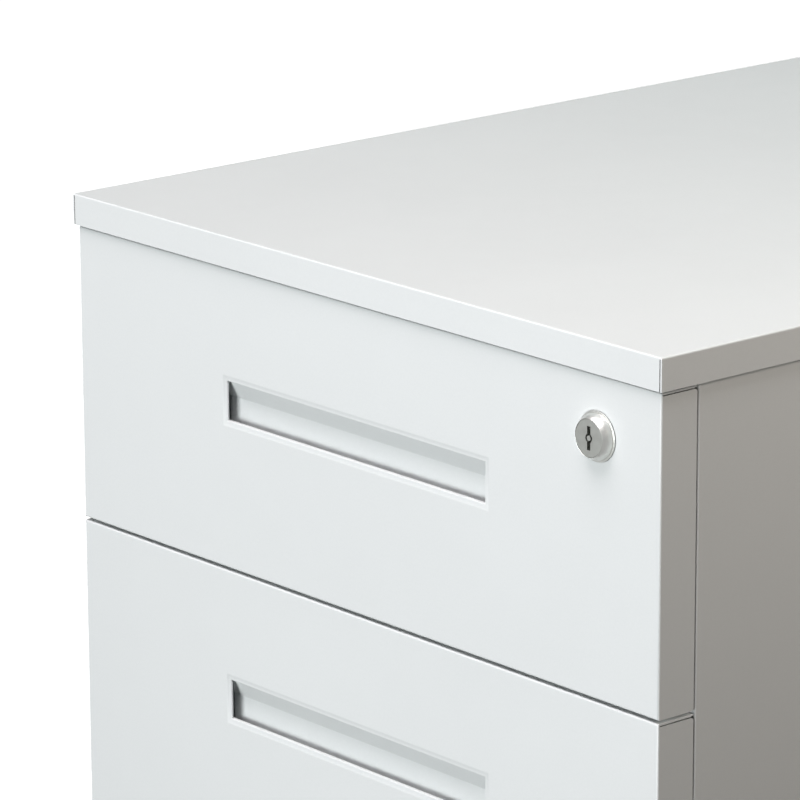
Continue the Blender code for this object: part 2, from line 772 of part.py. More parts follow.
def lock_bar(bar):
    """The upright strip inside the right column, with a window for the cam."""
    x = LOCK_X + CAM_REACH - 0.0010
    y = BODY_FRONT_Y + 0.0010
    bottom = BASE_TOP + 0.004
    top = UNDER_TOP - BAR_TRAVEL - 0.002
    bm = box_mesh(((x, y, bottom), (x + BAR_THICKNESS, y + BAR_WIDTH, top)))
    obj = add_piece("lock_bar", bm, (x, y, LOCK_Z), bar, galvanised_steel)
    low = (x - SHEET, CAM_Y - 0.0008, LOCK_Z - 0.0200)
    high = (x + BAR_THICKNESS + SHEET, CAM_Y + CAM_THICKNESS + 0.0008, LOCK_Z)
    add_cutter(obj, "lock_bar_window", box_mesh((low, high)))


def lock_notch(top_tray):
    """Clear the corner of the top tray's right wall where the cam swings over it."""
    low = (TRAY_X - 2 * SHEET, TRAY_FRONT_Y - SHEET, LOCK_Z - CAM_REACH - 0.006)
    high = (TRAY_X + TRAY_RIM + SHEET, CAM_Y + CAM_THICKNESS + 0.002, LOCK_Z)
    add_cutter(top_tray, "lock_notch", box_mesh((low, high)))


# Castors.

def castor_plate(name, centre, cabinet):
    """The fixed plate, with the raceway and the kingpin under it."""
    half = PLATE_SIZE / 2
    low = (centre.x - half, centre.y - half, PLATE_BOTTOM)
    high = (centre.x + half, centre.y + half, PLATE_BOTTOM + PLATE_THICKNESS)
    origin = (centre.x, centre.y, PLATE_BOTTOM)
    obj = add_piece(name + "_plate", box_mesh((low, high)), origin, cabinet, black_steel)
    raceway_end = Vector((centre.x, centre.y, PLATE_BOTTOM - RACEWAY_HEIGHT))
    kingpin_end = Vector((centre.x, centre.y, PLATE_BOTTOM - KINGPIN_LENGTH))
    inside = Vector((centre.x, centre.y, PLATE_BOTTOM + PLATE_THICKNESS / 2))
    add_cutter(obj, name + "_raceway", rod_mesh(raceway_end, inside, RACEWAY_RADIUS, 28), "UNION")
    add_cutter(obj, name + "_kingpin", rod_mesh(kingpin_end, inside, KINGPIN_RADIUS, 16), "UNION")


def castor_fork(name, centre, axle, swivel):
    """A bridge with two legs that lean back to the axle."""
    half = FORK_GAP / 2 + FORK_SHEET
    foot = axle.z - 0.009
    y = centre.y - FORK_LENGTH / 2
    outline = [
        (centre.x - half, y, foot),
        (centre.x - half, y, FORK_TOP),
        (centre.x + half, y, FORK_TOP),
        (centre.x + half, y, foot),
    ]
    bm = folded_strip(outline, (0, FORK_LENGTH, 0))
    lean = CASTOR_TRAIL * (FORK_TOP - foot) / (FORK_TOP - axle.z)
    for vert in bm.verts:
        if vert.co.z < axle.z:
            narrowed = (vert.co.y - centre.y) * FORK_FOOT_LENGTH / FORK_LENGTH
            vert.co.y = centre.y + lean + narrowed
    mark_folds(bm)
    obj = add_piece(name + "_fork", bm, (centre.x, centre.y, FORK_TOP), swivel, black_steel)
    add_folds(obj, radius=0.0035, steps=3)
    add_sheet(obj, thickness=FORK_SHEET)
    reach = Vector((half + SHEET, 0, 0))
    add_cutter(obj, name + "_axle_hole", rod_mesh(axle - reach, axle + reach, KINGPIN_RADIUS + CLEARANCE, 16))
    above = Vector((centre.x, centre.y, FORK_TOP + SHEET))
    below = Vector((centre.x, centre.y, FORK_TOP - FORK_SHEET - SHEET))
    add_cutter(obj, name + "_pin_hole", rod_mesh(below, above, KINGPIN_RADIUS + CLEARANCE, 16))


def castor_axle(name, axle, swivel):
    half = FORK_GAP / 2 + FORK_SHEET + 0.0015
    reach = Vector((half, 0, 0))
    bm = rod_mesh(axle - reach, axle + reach, KINGPIN_RADIUS, 16)
    obj = add_piece(name + "_axle", bm, axle, swivel, galvanised_steel)
    shade_round(obj)


def castor_wheel(name, axle, wheel):
    """A hub and a rounded tread, turned about the axle."""
    bore = KINGPIN_RADIUS + CLEARANCE
    hub = HUB_WIDTH / 2
    tread = WHEEL_WIDTH / 2
    side = [
        (bore, hub),
        (0.0090, hub),
        (0.0095, tread - 0.002),
        (0.0190, tread - 0.002),
        (0.0200, tread),
        (WHEEL_RADIUS - 0.0015, tread),
        (WHEEL_RADIUS, tread - 0.0020),
    ]
    profile = side + [(radius, -height) for radius, height in reversed(side)]
    turned_piece(
        name + "_wheel", profile, WHEEL_STEPS, axle, (0, math.pi / 2, 0), wheel, black_rubber,
        start_angle=math.pi / WHEEL_STEPS
    )


def castor(name, x, y, cabinet):
    """A swivel castor whose wheel trails towards the back."""
    centre = Vector((x, y, 0.0))
    axle = Vector((x, y + CASTOR_TRAIL, WHEEL_CENTRE_Z))
    swivel = joint_empty(name + "_swivel_axis", (x, y, FORK_TOP), cabinet)
    wheel = joint_empty(name + "_wheel_axis", axle, swivel)
    castor_plate(name, centre, cabinet)
    castor_fork(name, centre, axle, swivel)
    castor_axle(name, axle, swivel)
    castor_wheel(name, axle, wheel)


# Assembly.

def drawer(number, bottom, top, cabinet):
    """One drawer with its slides; returns the pieces that the lock passes through."""
    name = "drawer_" + str(number)
    is_file = number == 3
    lift = FILE_TRAY_LIFT if is_file else TRAY_LIFT
    height = FILE_TRAY_HEIGHT if is_file else BOX_TRAY_HEIGHT
    floor = bottom + lift
    slide_axis = (0.0, FACE_Y, floor + SLIDE_LIFT)
    moving = joint_empty(name + "_slide_axis", slide_axis, cabinet)
    middle = joint_empty(name + "_middle_axis", slide_axis, cabinet)
    front = drawer_front(name, bottom, top, moving)
    liner = inner_panel(name, bottom, top, moving)
    pull_cup(name, top, moving)
    box = tray(name, floor, height, moving)
    slides(number, floor + SLIDE_LIFT, cabinet, moving, middle)
    if is_file:
        for side_name, side in SIDES:
            file_rail(side_name, side, floor, moving)
    return moving, front, liner, box


def lock(moving, front, liner, box, right_panel, cabinet):
    """The lock in the top drawer's front, and the bar that it lifts."""
    turning = joint_empty("lock_axis", LOCK_CENTRE, moving)
    rising = joint_empty("lock_bar_axis", (LOCK_X + CAM_REACH, BODY_FRONT_Y, LOCK_Z), cabinet)
    lock_hole(front, "lock_hole_outer", BARREL_RADIUS + CLEARANCE)
    lock_hole(liner, "lock_hole_inner", BARREL_RADIUS + CLEARANCE)
    lock_housing(moving)
    lock_nut(moving)
    lock_plug(turning)
    lock_cam(turning)
    lock_bar(rising)
    cut_cam_slot(right_panel)
    lock_notch(box)


def main():
    clear_scene()
    cabinet = joint_empty("cabinet_origin", (0.0, 0.0, 0.0))
    top_panel(cabinet)
    side_panel("left", -1, cabinet)
    right_panel = side_panel("right", 1, cabinet)
    back_panel(cabinet)
    base_panel(cabinet)
    front_top_rail(cabinet)
    for number, (bottom, top) in enumerate(drawer_spans(), start=1):
        pieces = drawer(number, bottom, top, cabinet)
        if number == 1:
            lock(*pieces, right_panel, cabinet)
    for row, y in (("front", TOP_FRONT_Y + CASTOR_INSET), ("back", TOP_BACK_Y - CASTOR_INSET)):
        for side_name, side in SIDES:
            castor("castor_" + row + "_" + side_name, side * CASTOR_X, y, cabinet)


main()
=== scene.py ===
import json
import math

import bmesh
import bpy
from mathutils import Matrix
from mathutils import Vector


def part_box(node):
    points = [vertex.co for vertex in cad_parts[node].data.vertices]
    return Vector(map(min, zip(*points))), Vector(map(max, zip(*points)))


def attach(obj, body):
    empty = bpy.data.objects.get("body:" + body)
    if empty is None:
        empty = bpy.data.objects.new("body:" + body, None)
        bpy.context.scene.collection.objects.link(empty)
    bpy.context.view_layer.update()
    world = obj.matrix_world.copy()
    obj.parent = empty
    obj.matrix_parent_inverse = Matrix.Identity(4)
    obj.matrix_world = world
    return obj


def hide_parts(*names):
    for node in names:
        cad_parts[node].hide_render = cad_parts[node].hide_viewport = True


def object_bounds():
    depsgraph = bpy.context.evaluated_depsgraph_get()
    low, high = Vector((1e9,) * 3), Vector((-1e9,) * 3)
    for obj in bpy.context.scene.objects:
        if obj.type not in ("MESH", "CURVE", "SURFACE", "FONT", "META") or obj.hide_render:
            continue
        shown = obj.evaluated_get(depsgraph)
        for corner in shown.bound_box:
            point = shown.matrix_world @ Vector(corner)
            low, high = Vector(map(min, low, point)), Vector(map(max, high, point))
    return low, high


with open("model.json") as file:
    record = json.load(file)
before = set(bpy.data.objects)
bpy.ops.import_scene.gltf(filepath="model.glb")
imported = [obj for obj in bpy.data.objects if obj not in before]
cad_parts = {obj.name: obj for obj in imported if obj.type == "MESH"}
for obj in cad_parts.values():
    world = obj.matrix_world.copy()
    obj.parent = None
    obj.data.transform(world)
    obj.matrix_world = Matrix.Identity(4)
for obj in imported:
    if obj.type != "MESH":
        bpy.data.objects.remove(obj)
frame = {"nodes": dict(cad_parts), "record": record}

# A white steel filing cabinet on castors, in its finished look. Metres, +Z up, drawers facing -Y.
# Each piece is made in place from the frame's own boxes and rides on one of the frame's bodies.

CAD_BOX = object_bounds()
NODES = frame["nodes"]
BODY_OF = {
    node: body
    for body, nodes in frame["record"]["behaviour"]["bodies"].items()
    for node in nodes
}

# Folded sheet.
SHEET = 0.0008
FOLD_RADIUS = 0.0009
FOLD_STEPS = 6
CLEARANCE = 0.0003
NEAR = 0.00001
SHARP_ANGLE = 33.0

# Painted shade: how far the coat's colour is darkened between sheets that nearly touch.
GAP_REACH = 0.0015
GAP_SAMPLES = 8
GAP_PAINTED_SHADE_DARKEST = 0.05
GAP_LOW = 0.05
GAP_HIGH = 0.75

# Top panel, side panels and base.
TOP_SEAM_SETBACK = 0.0009
TOP_SEAM_WIDTH = 0.0005
COLUMN_FRONT_DEPTH = 0.025
COLUMN_BACK_DEPTH = 0.040
PANEL_LIP = 0.0014
BASE_TOP = 0.0745
CAM_SLOT_MARGIN = 0.0010
CAM_SLOT_BELOW = 0.0190
CAM_SLOT_ABOVE = 0.0058

# Drawer fronts and pulls.
FRONT_SEAM = 0.0005
RETURN_CORNER = 0.0014
RETURN_CORNER_STEPS = 4
LOCK_HOLE_STEPS = 64
PULL_WIDTH = 0.1726
PULL_HEIGHT = 0.0182
PULL_DROP = 0.0517
PULL_END_DEPTH = 0.0013
PULL_BORDER = 0.0029
PULL_DISH = 0.00035
PULL_DISH_STEPS = 4
PULL_ROLL_RADIUS = 0.0005
PULL_ROLL_STEPS = 8
PULL_PRESS = 0.0020
CUP_BACK_DEPTH = 0.0071
CUP_SLOPE_DROP = 0.0088
CUP_POCKET_DROP = 0.014
CUP_FLANGE = 0.006
CUP_OVERLAP = 0.006
CUP_FOLD = 0.22
CUP_FOLD_STEPS = 4

# Trays.
TRAY_RIM = 0.006
TRAY_NOTCH_DEPTH = 0.002
TRAY_NOTCH_DROP = 0.040

# Fasteners: a head's radius and height, and where its rows run.
SLIDE_SCREW = (0.0036, 0.0014)
SLIDE_SCREW_OFFSETS = (0.035, 0.195, 0.385)
LINER_RIVET = (0.0024, 0.0005)
LINER_RIVET_SIDE = 0.0065
LINER_RIVET_TOP = 0.010
LINER_RIVET_BOTTOM = 0.008
BACK_SCREW = (0.0038, 0.0013)
BACK_SCREW_SIDE = 0.010
BACK_SCREW_END = 0.02
BACK_SCREW_ROWS = 5
WASHER_THICKNESS = 0.0008
WASHER_SPREAD = 1.25
BUFFER_RADIUS = 0.0025
BUFFER_HEIGHT = 0.0005
BUFFER_END = 0.012

# Lock.
LOCK_CENTRE_X = 0.1558
LOCK_DROP = 0.0255
BEZEL_RADIUS = 0.0109
BEZEL_RIM = 0.0007
BEZEL_CONE_RADIUS = 0.0101
BEZEL_BULGE = 0.0005
BEZEL_STEPS = 16
BEZEL_PROUD = 0.0050
EDGE_BREAK = 0.0001
BARREL_RADIUS = 0.0090
BARREL_LENGTH = 0.0238
LOCK_FACE_PROUD = 0.0049
PLUG_RADIUS = 0.0078
PLUG_GAP = 0.00008
TAIL_RADIUS = 0.0035
TAIL_LENGTH = 0.0280
KEYWAY_LENGTH = 0.0102
KEYWAY_WIDTH = 0.0020
KEYWAY_DEPTH = 0.0070
KEYWAY_CORE_RADIUS = 0.0020
KEYWAY_PIN_RADIUS = 0.0011
CAM_SETBACK = 0.0242
CAM_THICKNESS = 0.0020
CAM_NUT_RADIUS = 0.0060
CAM_NUT_CHAMFER = 0.0004
CAM_NUT_THICKNESS = 0.0016

# Slides.
SLIDE_SHEET = 0.0012
SLIDE_TRAVEL = 0.210
BALLS_IN_ROW = 16
BALL_PITCH = 0.0115
BALL_PLAY = 0.00004
OUTER_RACE_INSET = 0.0062
OUTER_RACE_START = 0.020
INNER_RACE_INSET = 0.0084
INNER_RACE_START = 0.012
CAGE_HALF_WIDTH = 0.0021
CAGE_HALF_THICKNESS = 0.0002
CAGE_END = 0.006

# Castors.
WHEEL_HALF = 0.010
HUB_HALF = 0.011
HUB_RADIUS = 0.0080
WEB_HALF = 0.0048
TYRE_SEAT = 0.0188
TYRE_SHOULDER = 0.0030
TYRE_CROWN_HALF = 0.0035
RIB_COUNT = 8
RIB_INNER = 0.0084
RIB_OUTER = 0.0166
RIB_HALF_THICKNESS = 0.0007
RIB_HALF_HEIGHT = 0.0076
FORK_SHEET = 0.0025
FORK_GAP = 0.023
FORK_LENGTH = 0.026
FORK_FOOT_LENGTH = 0.016
FORK_FOOT_DROP = 0.009
FORK_CORNER = 0.0055
FORK_FOLD = 0.0035
AXLE_SHANK_RADIUS = 0.0038
AXLE_HEAD_RADIUS = 0.0052
AXLE_HEAD_TOP_RADIUS = 0.0042
AXLE_HEAD_DOME = 0.0005
PLATE_THICKNESS = 0.0025
PLATE_CORNER = 0.006
PLATE_BOLT = (0.0045, 0.0022)
PLATE_BOLT_OFFSET = 0.0215
RACEWAY_RADIUS = 0.017
RACEWAY_HEIGHT = 0.004
RACEWAY_EDGE = 0.001
RACEWAY_DIMPLE_RADIUS = 0.0090
RACEWAY_DIMPLE_DEPTH = 0.0008
KINGPIN_RADIUS = 0.004
KINGPIN_LENGTH = 0.0109
KINGPIN_CHAMFER = 0.0006

# Camera and light.
CAMERA_PLACE = Vector((1.58458, -1.57544, 1.13275))
CAMERA_AZIMUTH = 49.439
CAMERA_ELEVATION = 15.432
CAMERA_ROLL = -0.2448
CAMERA_LENS = 223.92
CAMERA_SENSOR = 36.0
CAMERA_CLIP = (0.05, 200.0)
WORLD_STRENGTH = 0.45
LIGHT_TARGET = Vector((0.0, 0.0, 0.42))
FILL_TARGET = Vector((0.19, -0.15, 0.60))
FLOOR_DROP = 0.0002
FLOOR_NEAR_RADIUS = 0.55
FLOOR_FAR_RADIUS = 0.95
FLOOR_GLOW_NEAR = 0.62
FLOOR_GLOW_FAR = 1.0
WALL_RADIUS = 25.0
WALL_STEPS = 96

SIDES = (("left", -1), ("right", 1))
DRAWERS = (1, 2, 3)


# Materials.

def link(tree, source, target):
    tree.links.new(source, target)


def object_coordinates(tree, scale=(1.0, 1.0, 1.0), shift=(0.0, 0.0, 0.0)):
    """Return coordinates in metres that stay with the piece, stretched and shifted if asked."""
    coordinates = tree.nodes.new("ShaderNodeTexCoord")
    mapping = tree.nodes.new("ShaderNodeMapping")
    mapping.inputs["Scale"].default_value = scale
    mapping.inputs["Location"].default_value = shift
    link(tree, coordinates.outputs["Object"], mapping.inputs["Vector"])
    return mapping.outputs["Vector"]


def noise(tree, vector, scale, detail, roughness=0.5):
    texture = tree.nodes.new("ShaderNodeTexNoise")
    texture.inputs["Scale"].default_value = scale
    texture.inputs["Detail"].default_value = detail
    texture.inputs["Roughness"].default_value = roughness
    link(tree, vector, texture.inputs["Vector"])
    return texture.outputs["Fac"]


def cells(tree, vector, scale):
    """Return a flat random colour for each cell of a crazed surface."""
    texture = tree.nodes.new("ShaderNodeTexVoronoi")
    texture.inputs["Scale"].default_value = scale
    link(tree, vector, texture.inputs["Vector"])
    return texture.outputs["Color"]


def ramp(tree, factor, low_colour, high_colour, low=0.3, high=0.7):
    """Run from one colour to another as a factor goes from low to high."""
    node = tree.nodes.new("ShaderNodeValToRGB")
    node.color_ramp.elements[0].position = low
    node.color_ramp.elements[0].color = (*low_colour, 1.0)
    node.color_ramp.elements[1].position = high
    node.color_ramp.elements[1].color = (*high_colour, 1.0)
    link(tree, factor, node.inputs["Fac"])
    return node.outputs["Color"]


def multiplied(tree, base, grey):
    mix = tree.nodes.new("ShaderNodeMix")
    mix.data_type = "RGBA"
    mix.blend_type = "MULTIPLY"
    mix.inputs["Factor"].default_value = 1.0
    link(tree, base, mix.inputs["A"])
    link(tree, grey, mix.inputs["B"])
    return mix.outputs["Result"]


def tinted(tree, base, factor, low, high):
    """Multiply a colour by a grey that runs from low to high with a factor."""
    return multiplied(tree, base, ramp(tree, factor, (low,) * 3, (high,) * 3))


def span(tree, factor, low, high):
    """Map a factor's middle range onto low to high."""
    node = tree.nodes.new("ShaderNodeMapRange")
    node.inputs["From Min"].default_value = 0.3
    node.inputs["From Max"].default_value = 0.7
    node.inputs["To Min"].default_value = low
    node.inputs["To Max"].default_value = high
    link(tree, factor, node.inputs["Value"])
    return node.outputs["Result"]


def bump(tree, height, depth, normal=None):
    """Raise the surface by a height times a depth in metres."""
    node = tree.nodes.new("ShaderNodeBump")
    node.inputs["Strength"].default_value = 1.0
    node.inputs["Distance"].default_value = depth
    link(tree, height, node.inputs["Height"])
    if normal is not None:
        link(tree, normal, node.inputs["Normal"])
    return node.outputs["Normal"]


def new_finish(name, metallic=0.0, **sockets):
    """Return a new material, its tree and its shader, with constants on the shader's own sockets."""
    material = bpy.data.materials.new(name)
    material.use_nodes = True
    tree = material.node_tree
    shader = tree.nodes["Principled BSDF"]
    shader.inputs["Metallic"].default_value = metallic
    for socket, value in sockets.items():
        shader.inputs[socket.replace("_", " ")].default_value = value
    return material, tree, shader


def shaded_in_gaps(tree, base):
    """Paint shade into a colour where sheet faces it closely, darkening seams and narrow gaps."""
    near = tree.nodes.new("ShaderNodeAmbientOcclusion")
    near.samples = GAP_SAMPLES
    near.inputs["Distance"].default_value = GAP_REACH
    grey = ramp(tree, near.outputs["AO"], (GAP_PAINTED_SHADE_DARKEST,) * 3, (1.0,) * 3, GAP_LOW, GAP_HIGH)
    return multiplied(tree, base, grey)


def powder_coat(name, colour):
    """Satin powder coat: fine orange peel, a soft mottle, slight changes in gloss, and painted shade in
    seams and narrow gaps.
    """
    material, tree, shader = new_finish(name, IOR=1.47)
    place = object_coordinates(tree)
    broad = noise(tree, place, 5.0, 3.0)
    base = ramp(tree, broad, [c * 0.988 for c in colour], [min(1.0, c * 1.008) for c in colour])
    base = tinted(tree, base, noise(tree, place, 60.0, 3.0, 0.6), 0.994, 1.0)
    base = tinted(tree, base, noise(tree, place, 900.0, 2.0), 0.985, 1.0)
    # Painted shade: the colour is darkened where other sheet lies close, in seams and gaps.
    link(tree, shaded_in_gaps(tree, base), shader.inputs["Base Color"])
    link(tree, span(tree, noise(tree, place, 35.0, 3.0), 0.40, 0.50), shader.inputs["Roughness"])
    peel = bump(tree, noise(tree, place, 430.0, 2.0), 0.000045)
    grain = bump(tree, noise(tree, place, 1700.0, 2.0), 0.000012, normal=peel)
    link(tree, grain, shader.inputs["Normal"])
    return material


def zinc(name, colour, streak):
    """Bright zinc on drawn strip: a faint spangle and long rolling streaks."""
    material, tree, shader = new_finish(name, metallic=1.0)
    place = object_coordinates(tree)
    along = object_coordinates(tree, scale=streak)
    base = ramp(tree, noise(tree, place, 14.0, 4.0), [c * 0.90 for c in colour], colour)
    base = tinted(tree, base, cells(tree, place, 170.0), 0.93, 1.0)
    base = tinted(tree, base, noise(tree, along, 900.0, 3.0), 0.94, 1.0)
    link(tree, base, shader.inputs["Base Color"])
    link(tree, span(tree, noise(tree, along, 320.0, 3.0), 0.28, 0.42), shader.inputs["Roughness"])
    streaks = bump(tree, noise(tree, along, 1500.0, 2.0), 0.000010)
    link(tree, streaks, shader.inputs["Normal"])
    return material


def nickel(name, colour, centre):
    """Satin nickel plate with faint turning marks about the lock's axis."""
    material, tree, shader = new_finish(name, metallic=1.0)
    place = object_coordinates(tree)
    turned = object_coordinates(tree, scale=(1.0, 0.0, 1.0), shift=(-centre.x, 0.0, -centre.z))
    rings = tree.nodes.new("ShaderNodeTexWave")
    rings.wave_type = "RINGS"
    rings.rings_direction = "SPHERICAL"
    rings.inputs["Scale"].default_value = 700.0
    rings.inputs["Distortion"].default_value = 1.5
    rings.inputs["Detail"].default_value = 2.0
    link(tree, turned, rings.inputs["Vector"])
    base = ramp(tree, noise(tree, place, 120.0, 3.0), [c * 0.96 for c in colour], colour)
    link(tree, base, shader.inputs["Base Color"])
    link(tree, span(tree, noise(tree, place, 400.0, 3.0), 0.33, 0.40), shader.inputs["Roughness"])
    marks = bump(tree, rings.outputs["Fac"], 0.0000010)
    cast = bump(tree, noise(tree, place, 1500.0, 2.0), 0.0000012, normal=marks)
    link(tree, cast, shader.inputs["Normal"])
    return material


def dark_coat(name, colour, low, high, grain_scale, grain_depth):
    """A dark skin, such as electro coat, rubber or plastic: mottled, with a fine grain."""
    material, tree, shader = new_finish(name)
    place = object_coordinates(tree)
    base = ramp(tree, noise(tree, place, 40.0, 4.0), [c * 0.8 for c in colour], [c * 1.25 for c in colour])
    base = tinted(tree, base, noise(tree, place, 600.0, 2.0), 0.85, 1.0)
    link(tree, base, shader.inputs["Base Color"])
    link(tree, span(tree, noise(tree, place, 90.0, 3.0), low, high), shader.inputs["Roughness"])
    grain = bump(tree, noise(tree, place, grain_scale, 3.0), grain_depth)
    link(tree, grain, shader.inputs["Normal"])
    return material


def make_finishes(lock_centre):
    """Return every finish by name: the record's slots, and a darker copy of the nickel for the lock plug,
    which paints shade on its face.
    """
    return {
        "white_powder_coat": powder_coat("powder_coat_white", (0.795, 0.815, 0.815)),
        "galvanised_steel": zinc("zinc_strip", (0.66, 0.67, 0.68), (1.0, 0.03, 1.0)),
        "satin_nickel": nickel("nickel_satin", (0.74, 0.745, 0.715), lock_centre),
        # Painted shade: the plug gets a darker copy of the housing's nickel.
        "plug_nickel_shaded": nickel("nickel_plug_shaded", (0.58, 0.59, 0.56), lock_centre),
        "black_steel": dark_coat("electro_coat_black", (0.035, 0.035, 0.038), 0.38, 0.52, 700.0, 0.00003),
        "black_rubber": dark_coat("rubber_black", (0.022, 0.022, 0.023), 0.62, 0.80, 900.0, 0.00004),
        "grey_plastic": dark_coat("plastic_grey", (0.11, 0.115, 0.12), 0.42, 0.55, 1100.0, 0.00002),
    }


# Making and placing pieces.

def new_object(name, bm, finish):
    """Turn a mesh built in place into an object with one finish."""
    mesh = bpy.data.meshes.new(name)
    bm.to_mesh(mesh)
    bm.free()
    obj = bpy.data.objects.new(name, mesh)
    bpy.context.scene.collection.objects.link(obj)
    mesh.materials.append(FINISHES[finish])
    return obj


def apply_modifiers(obj):
    """Keep the shape that the modifiers give, and drop the modifiers."""
    bpy.context.view_layer.update()
    evaluated = obj.evaluated_get(bpy.context.evaluated_depsgraph_get())
    obj.data, raw = bpy.data.meshes.new_from_object(evaluated), obj.data
    obj.modifiers.clear()
    bpy.data.meshes.remove(raw)


def cut(obj, *cutters):
    """Take shapes away from an object for good."""
    tools = []
    for bm in cutters:
        tool = new_object(obj.name + "_tool", bm, "white_powder_coat")
        boolean = obj.modifiers.new("cut", "BOOLEAN")
        boolean.solver = "EXACT"
        boolean.object = tool
        tools.append(tool)
    apply_modifiers(obj)
    for tool in tools:
        mesh = tool.data
        bpy.data.objects.remove(tool, do_unlink=True)
        bpy.data.meshes.remove(mesh)


def add_folds(obj, radius=FOLD_RADIUS, steps=FOLD_STEPS):
    """Round the edges that carry a bevel weight, each by its share of the radius."""
    bevel = obj.modifiers.new("folds", "BEVEL")
    bevel.limit_method = "WEIGHT"
    bevel.width = radius
    bevel.segments = steps


def add_sheet(obj, thickness=SHEET, side=-1.0):
    """Give a surface its sheet thickness, behind its faces or, with side 1.0, in front of them."""
    solidify = obj.modifiers.new("sheet", "SOLIDIFY")
    solidify.thickness = thickness
    solidify.offset = side
    solidify.use_even_offset = True
    solidify.use_quality_normals = True


def shade(obj):
    """Shade the folds smoothly, and keep flat faces flat and cut edges sharp."""
    obj.data.shade_smooth()
    obj.data.set_sharp_from_angle(angle=math.radians(SHARP_ANGLE))
    weighted = obj.modifiers.new("normals", "WEIGHTED_NORMAL")
    weighted.keep_sharp = True
    return obj


def dress(obj, body, replaced=()):
    """Let a piece ride on a body, and let it stand for CAD nodes."""
    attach(obj, body)
    if replaced:
        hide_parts(*replaced)
    return obj


def stand_in(obj, node):
    """Let a piece stand for one CAD node and ride on its body."""
    return dress(obj, BODY_OF[node], [node])


def facing(origin, direction):
    """Return the placement that turns local Z to a direction, at an origin."""
    turn = Vector((0.0, 0.0, 1.0)).rotation_difference(Vector(direction))
    return Matrix.Translation(Vector(origin)) @ turn.to_matrix().to_4x4()


def placed(bm, matrix):
    bmesh.ops.transform(bm, matrix=matrix, verts=bm.verts)
    return bm


def scattered(template, matrices):
    """Return one mesh with a copy of the template at each placement."""
    mesh = bpy.data.meshes.new("template")
    template.to_mesh(mesh)
    template.free()
    bm = bmesh.new()
    for matrix in matrices:
        start = len(bm.verts)
        bm.from_mesh(mesh)
        bm.verts.ensure_lookup_table()
        bmesh.ops.transform(bm, matrix=matrix, verts=bm.verts[start:])
    bpy.data.meshes.remove(mesh)
    return bm


def joined(*parts):
    """Return one mesh with all the parts."""
    first, *others = parts
    for part in others:
        mesh = bpy.data.meshes.new("part")
        part.to_mesh(mesh)
        part.free()
        first.from_mesh(mesh)
        bpy.data.meshes.remove(mesh)
    return first


# Mesh building blocks.

def box_mesh(*spans):
    """Return boxes, each given by its lowest and its highest corner."""
    bm = bmesh.new()
    for low, high in spans:
        low = Vector(low)
        high = Vector(high)
        size = Matrix.Diagonal((*(high - low), 1.0))
        bmesh.ops.create_cube(bm, size=1.0, matrix=Matrix.Translation((low + high) / 2) @ size)
    return bm


def rod_mesh(start, end, radius, steps):
    """Return a round bar between two points."""
    start = Vector(start)
    end = Vector(end)
    bm = bmesh.new()
    bmesh.ops.create_cone(
        bm, cap_ends=True, segments=steps, radius1=radius, radius2=radius,
        depth=(end - start).length, matrix=facing((start + end) / 2, end - start)
    )
    return bm


def lathe(profile, steps, matrix=None):
    """Turn (radius, height) points about local Z; a profile off the axis closes into a ring."""
    bm = bmesh.new()
    turn = 2 * math.pi / steps
    rings = []
    for radius, height in profile:
        count = steps if radius > 0.0 else 1
        rings.append([
            bm.verts.new((radius * math.cos(turn * i), radius * math.sin(turn * i), height))
            for i in range(count)
        ])
    pairs = list(zip(rings, rings[1:]))
    if profile[0][0] > 0.0:
        pairs.append((rings[-1], rings[0]))
    for upper, lower in pairs:
        for i in range(steps):
            j = (i + 1) % steps
            corners = [
                upper[i % len(upper)], upper[j % len(upper)], lower[j % len(lower)], lower[i % len(lower)]
            ]
            bm.faces.new(list(dict.fromkeys(corners)))
    bmesh.ops.recalc_face_normals(bm, faces=bm.faces)
    if matrix is not None:
        placed(bm, matrix)
    return bm


def arc(centre_radius, centre_height, radius, start, end, steps):
    """Return profile points round part of a circle, in degrees from the outward direction."""
    angles = [math.radians(start + (end - start) * i / steps) for i in range(steps + 1)]
    return [
        (centre_radius + radius * math.cos(angle), centre_height + radius * math.sin(angle))
        for angle in angles
    ]


def doubled(half):
    """Return half a profile and its mirror image below height 0."""
    return half + [(radius, -height) for radius, height in reversed(half)]


def open_sides(bm, *directions):
    """Delete the faces that look in the given directions."""
    bm.normal_update()
    doomed = [
        face for face in bm.faces
        if any(face.normal.dot(Vector(direction)) > 0.99 for direction in directions)
    ]
    bmesh.ops.delete(bm, geom=doomed, context="FACES")


def lies_at(edge, axis, value):
    return all(abs(vert.co[axis] - value) < NEAR for vert in edge.verts)


def mark_folds(bm, weight_of=lambda edge: 1.0):
    """Give inner edges a bevel weight."""
    weight = bm.edges.layers.float.new("bevel_weight_edge")
    for edge in bm.edges:
        if len(edge.link_faces) == 2:
            edge[weight] = weight_of(edge)


def folded_strip(outline, run):
    """Sweep an outline along a run, with the metal on the left as seen along the run."""
    bm = bmesh.new()
    verts = [bm.verts.new(point) for point in outline]
    edges = [bm.edges.new(pair) for pair in zip(verts, verts[1:])]
    swept = bmesh.ops.extrude_edge_only(bm, edges=edges)["geom"]
    moved = [item for item in swept if isinstance(item, bmesh.types.BMVert)]
    bmesh.ops.translate(bm, vec=run, verts=moved)
    bm.normal_update()
    metal_side = Vector(run).cross(Vector(outline[1]) - Vector(outline[0]))
    touching = next(face for face in bm.faces if verts[0] in face.verts)
    if touching.normal.dot(metal_side) > 0:
        bmesh.ops.reverse_faces(bm, faces=bm.faces)
    return bm


def mirrored(points, side):
    """Return an outline for the right side, or its mirror image for the left."""
    if side > 0:
        return points
    return [(-x, y, z) for x, y, z in reversed(points)]


# Cabinet body.

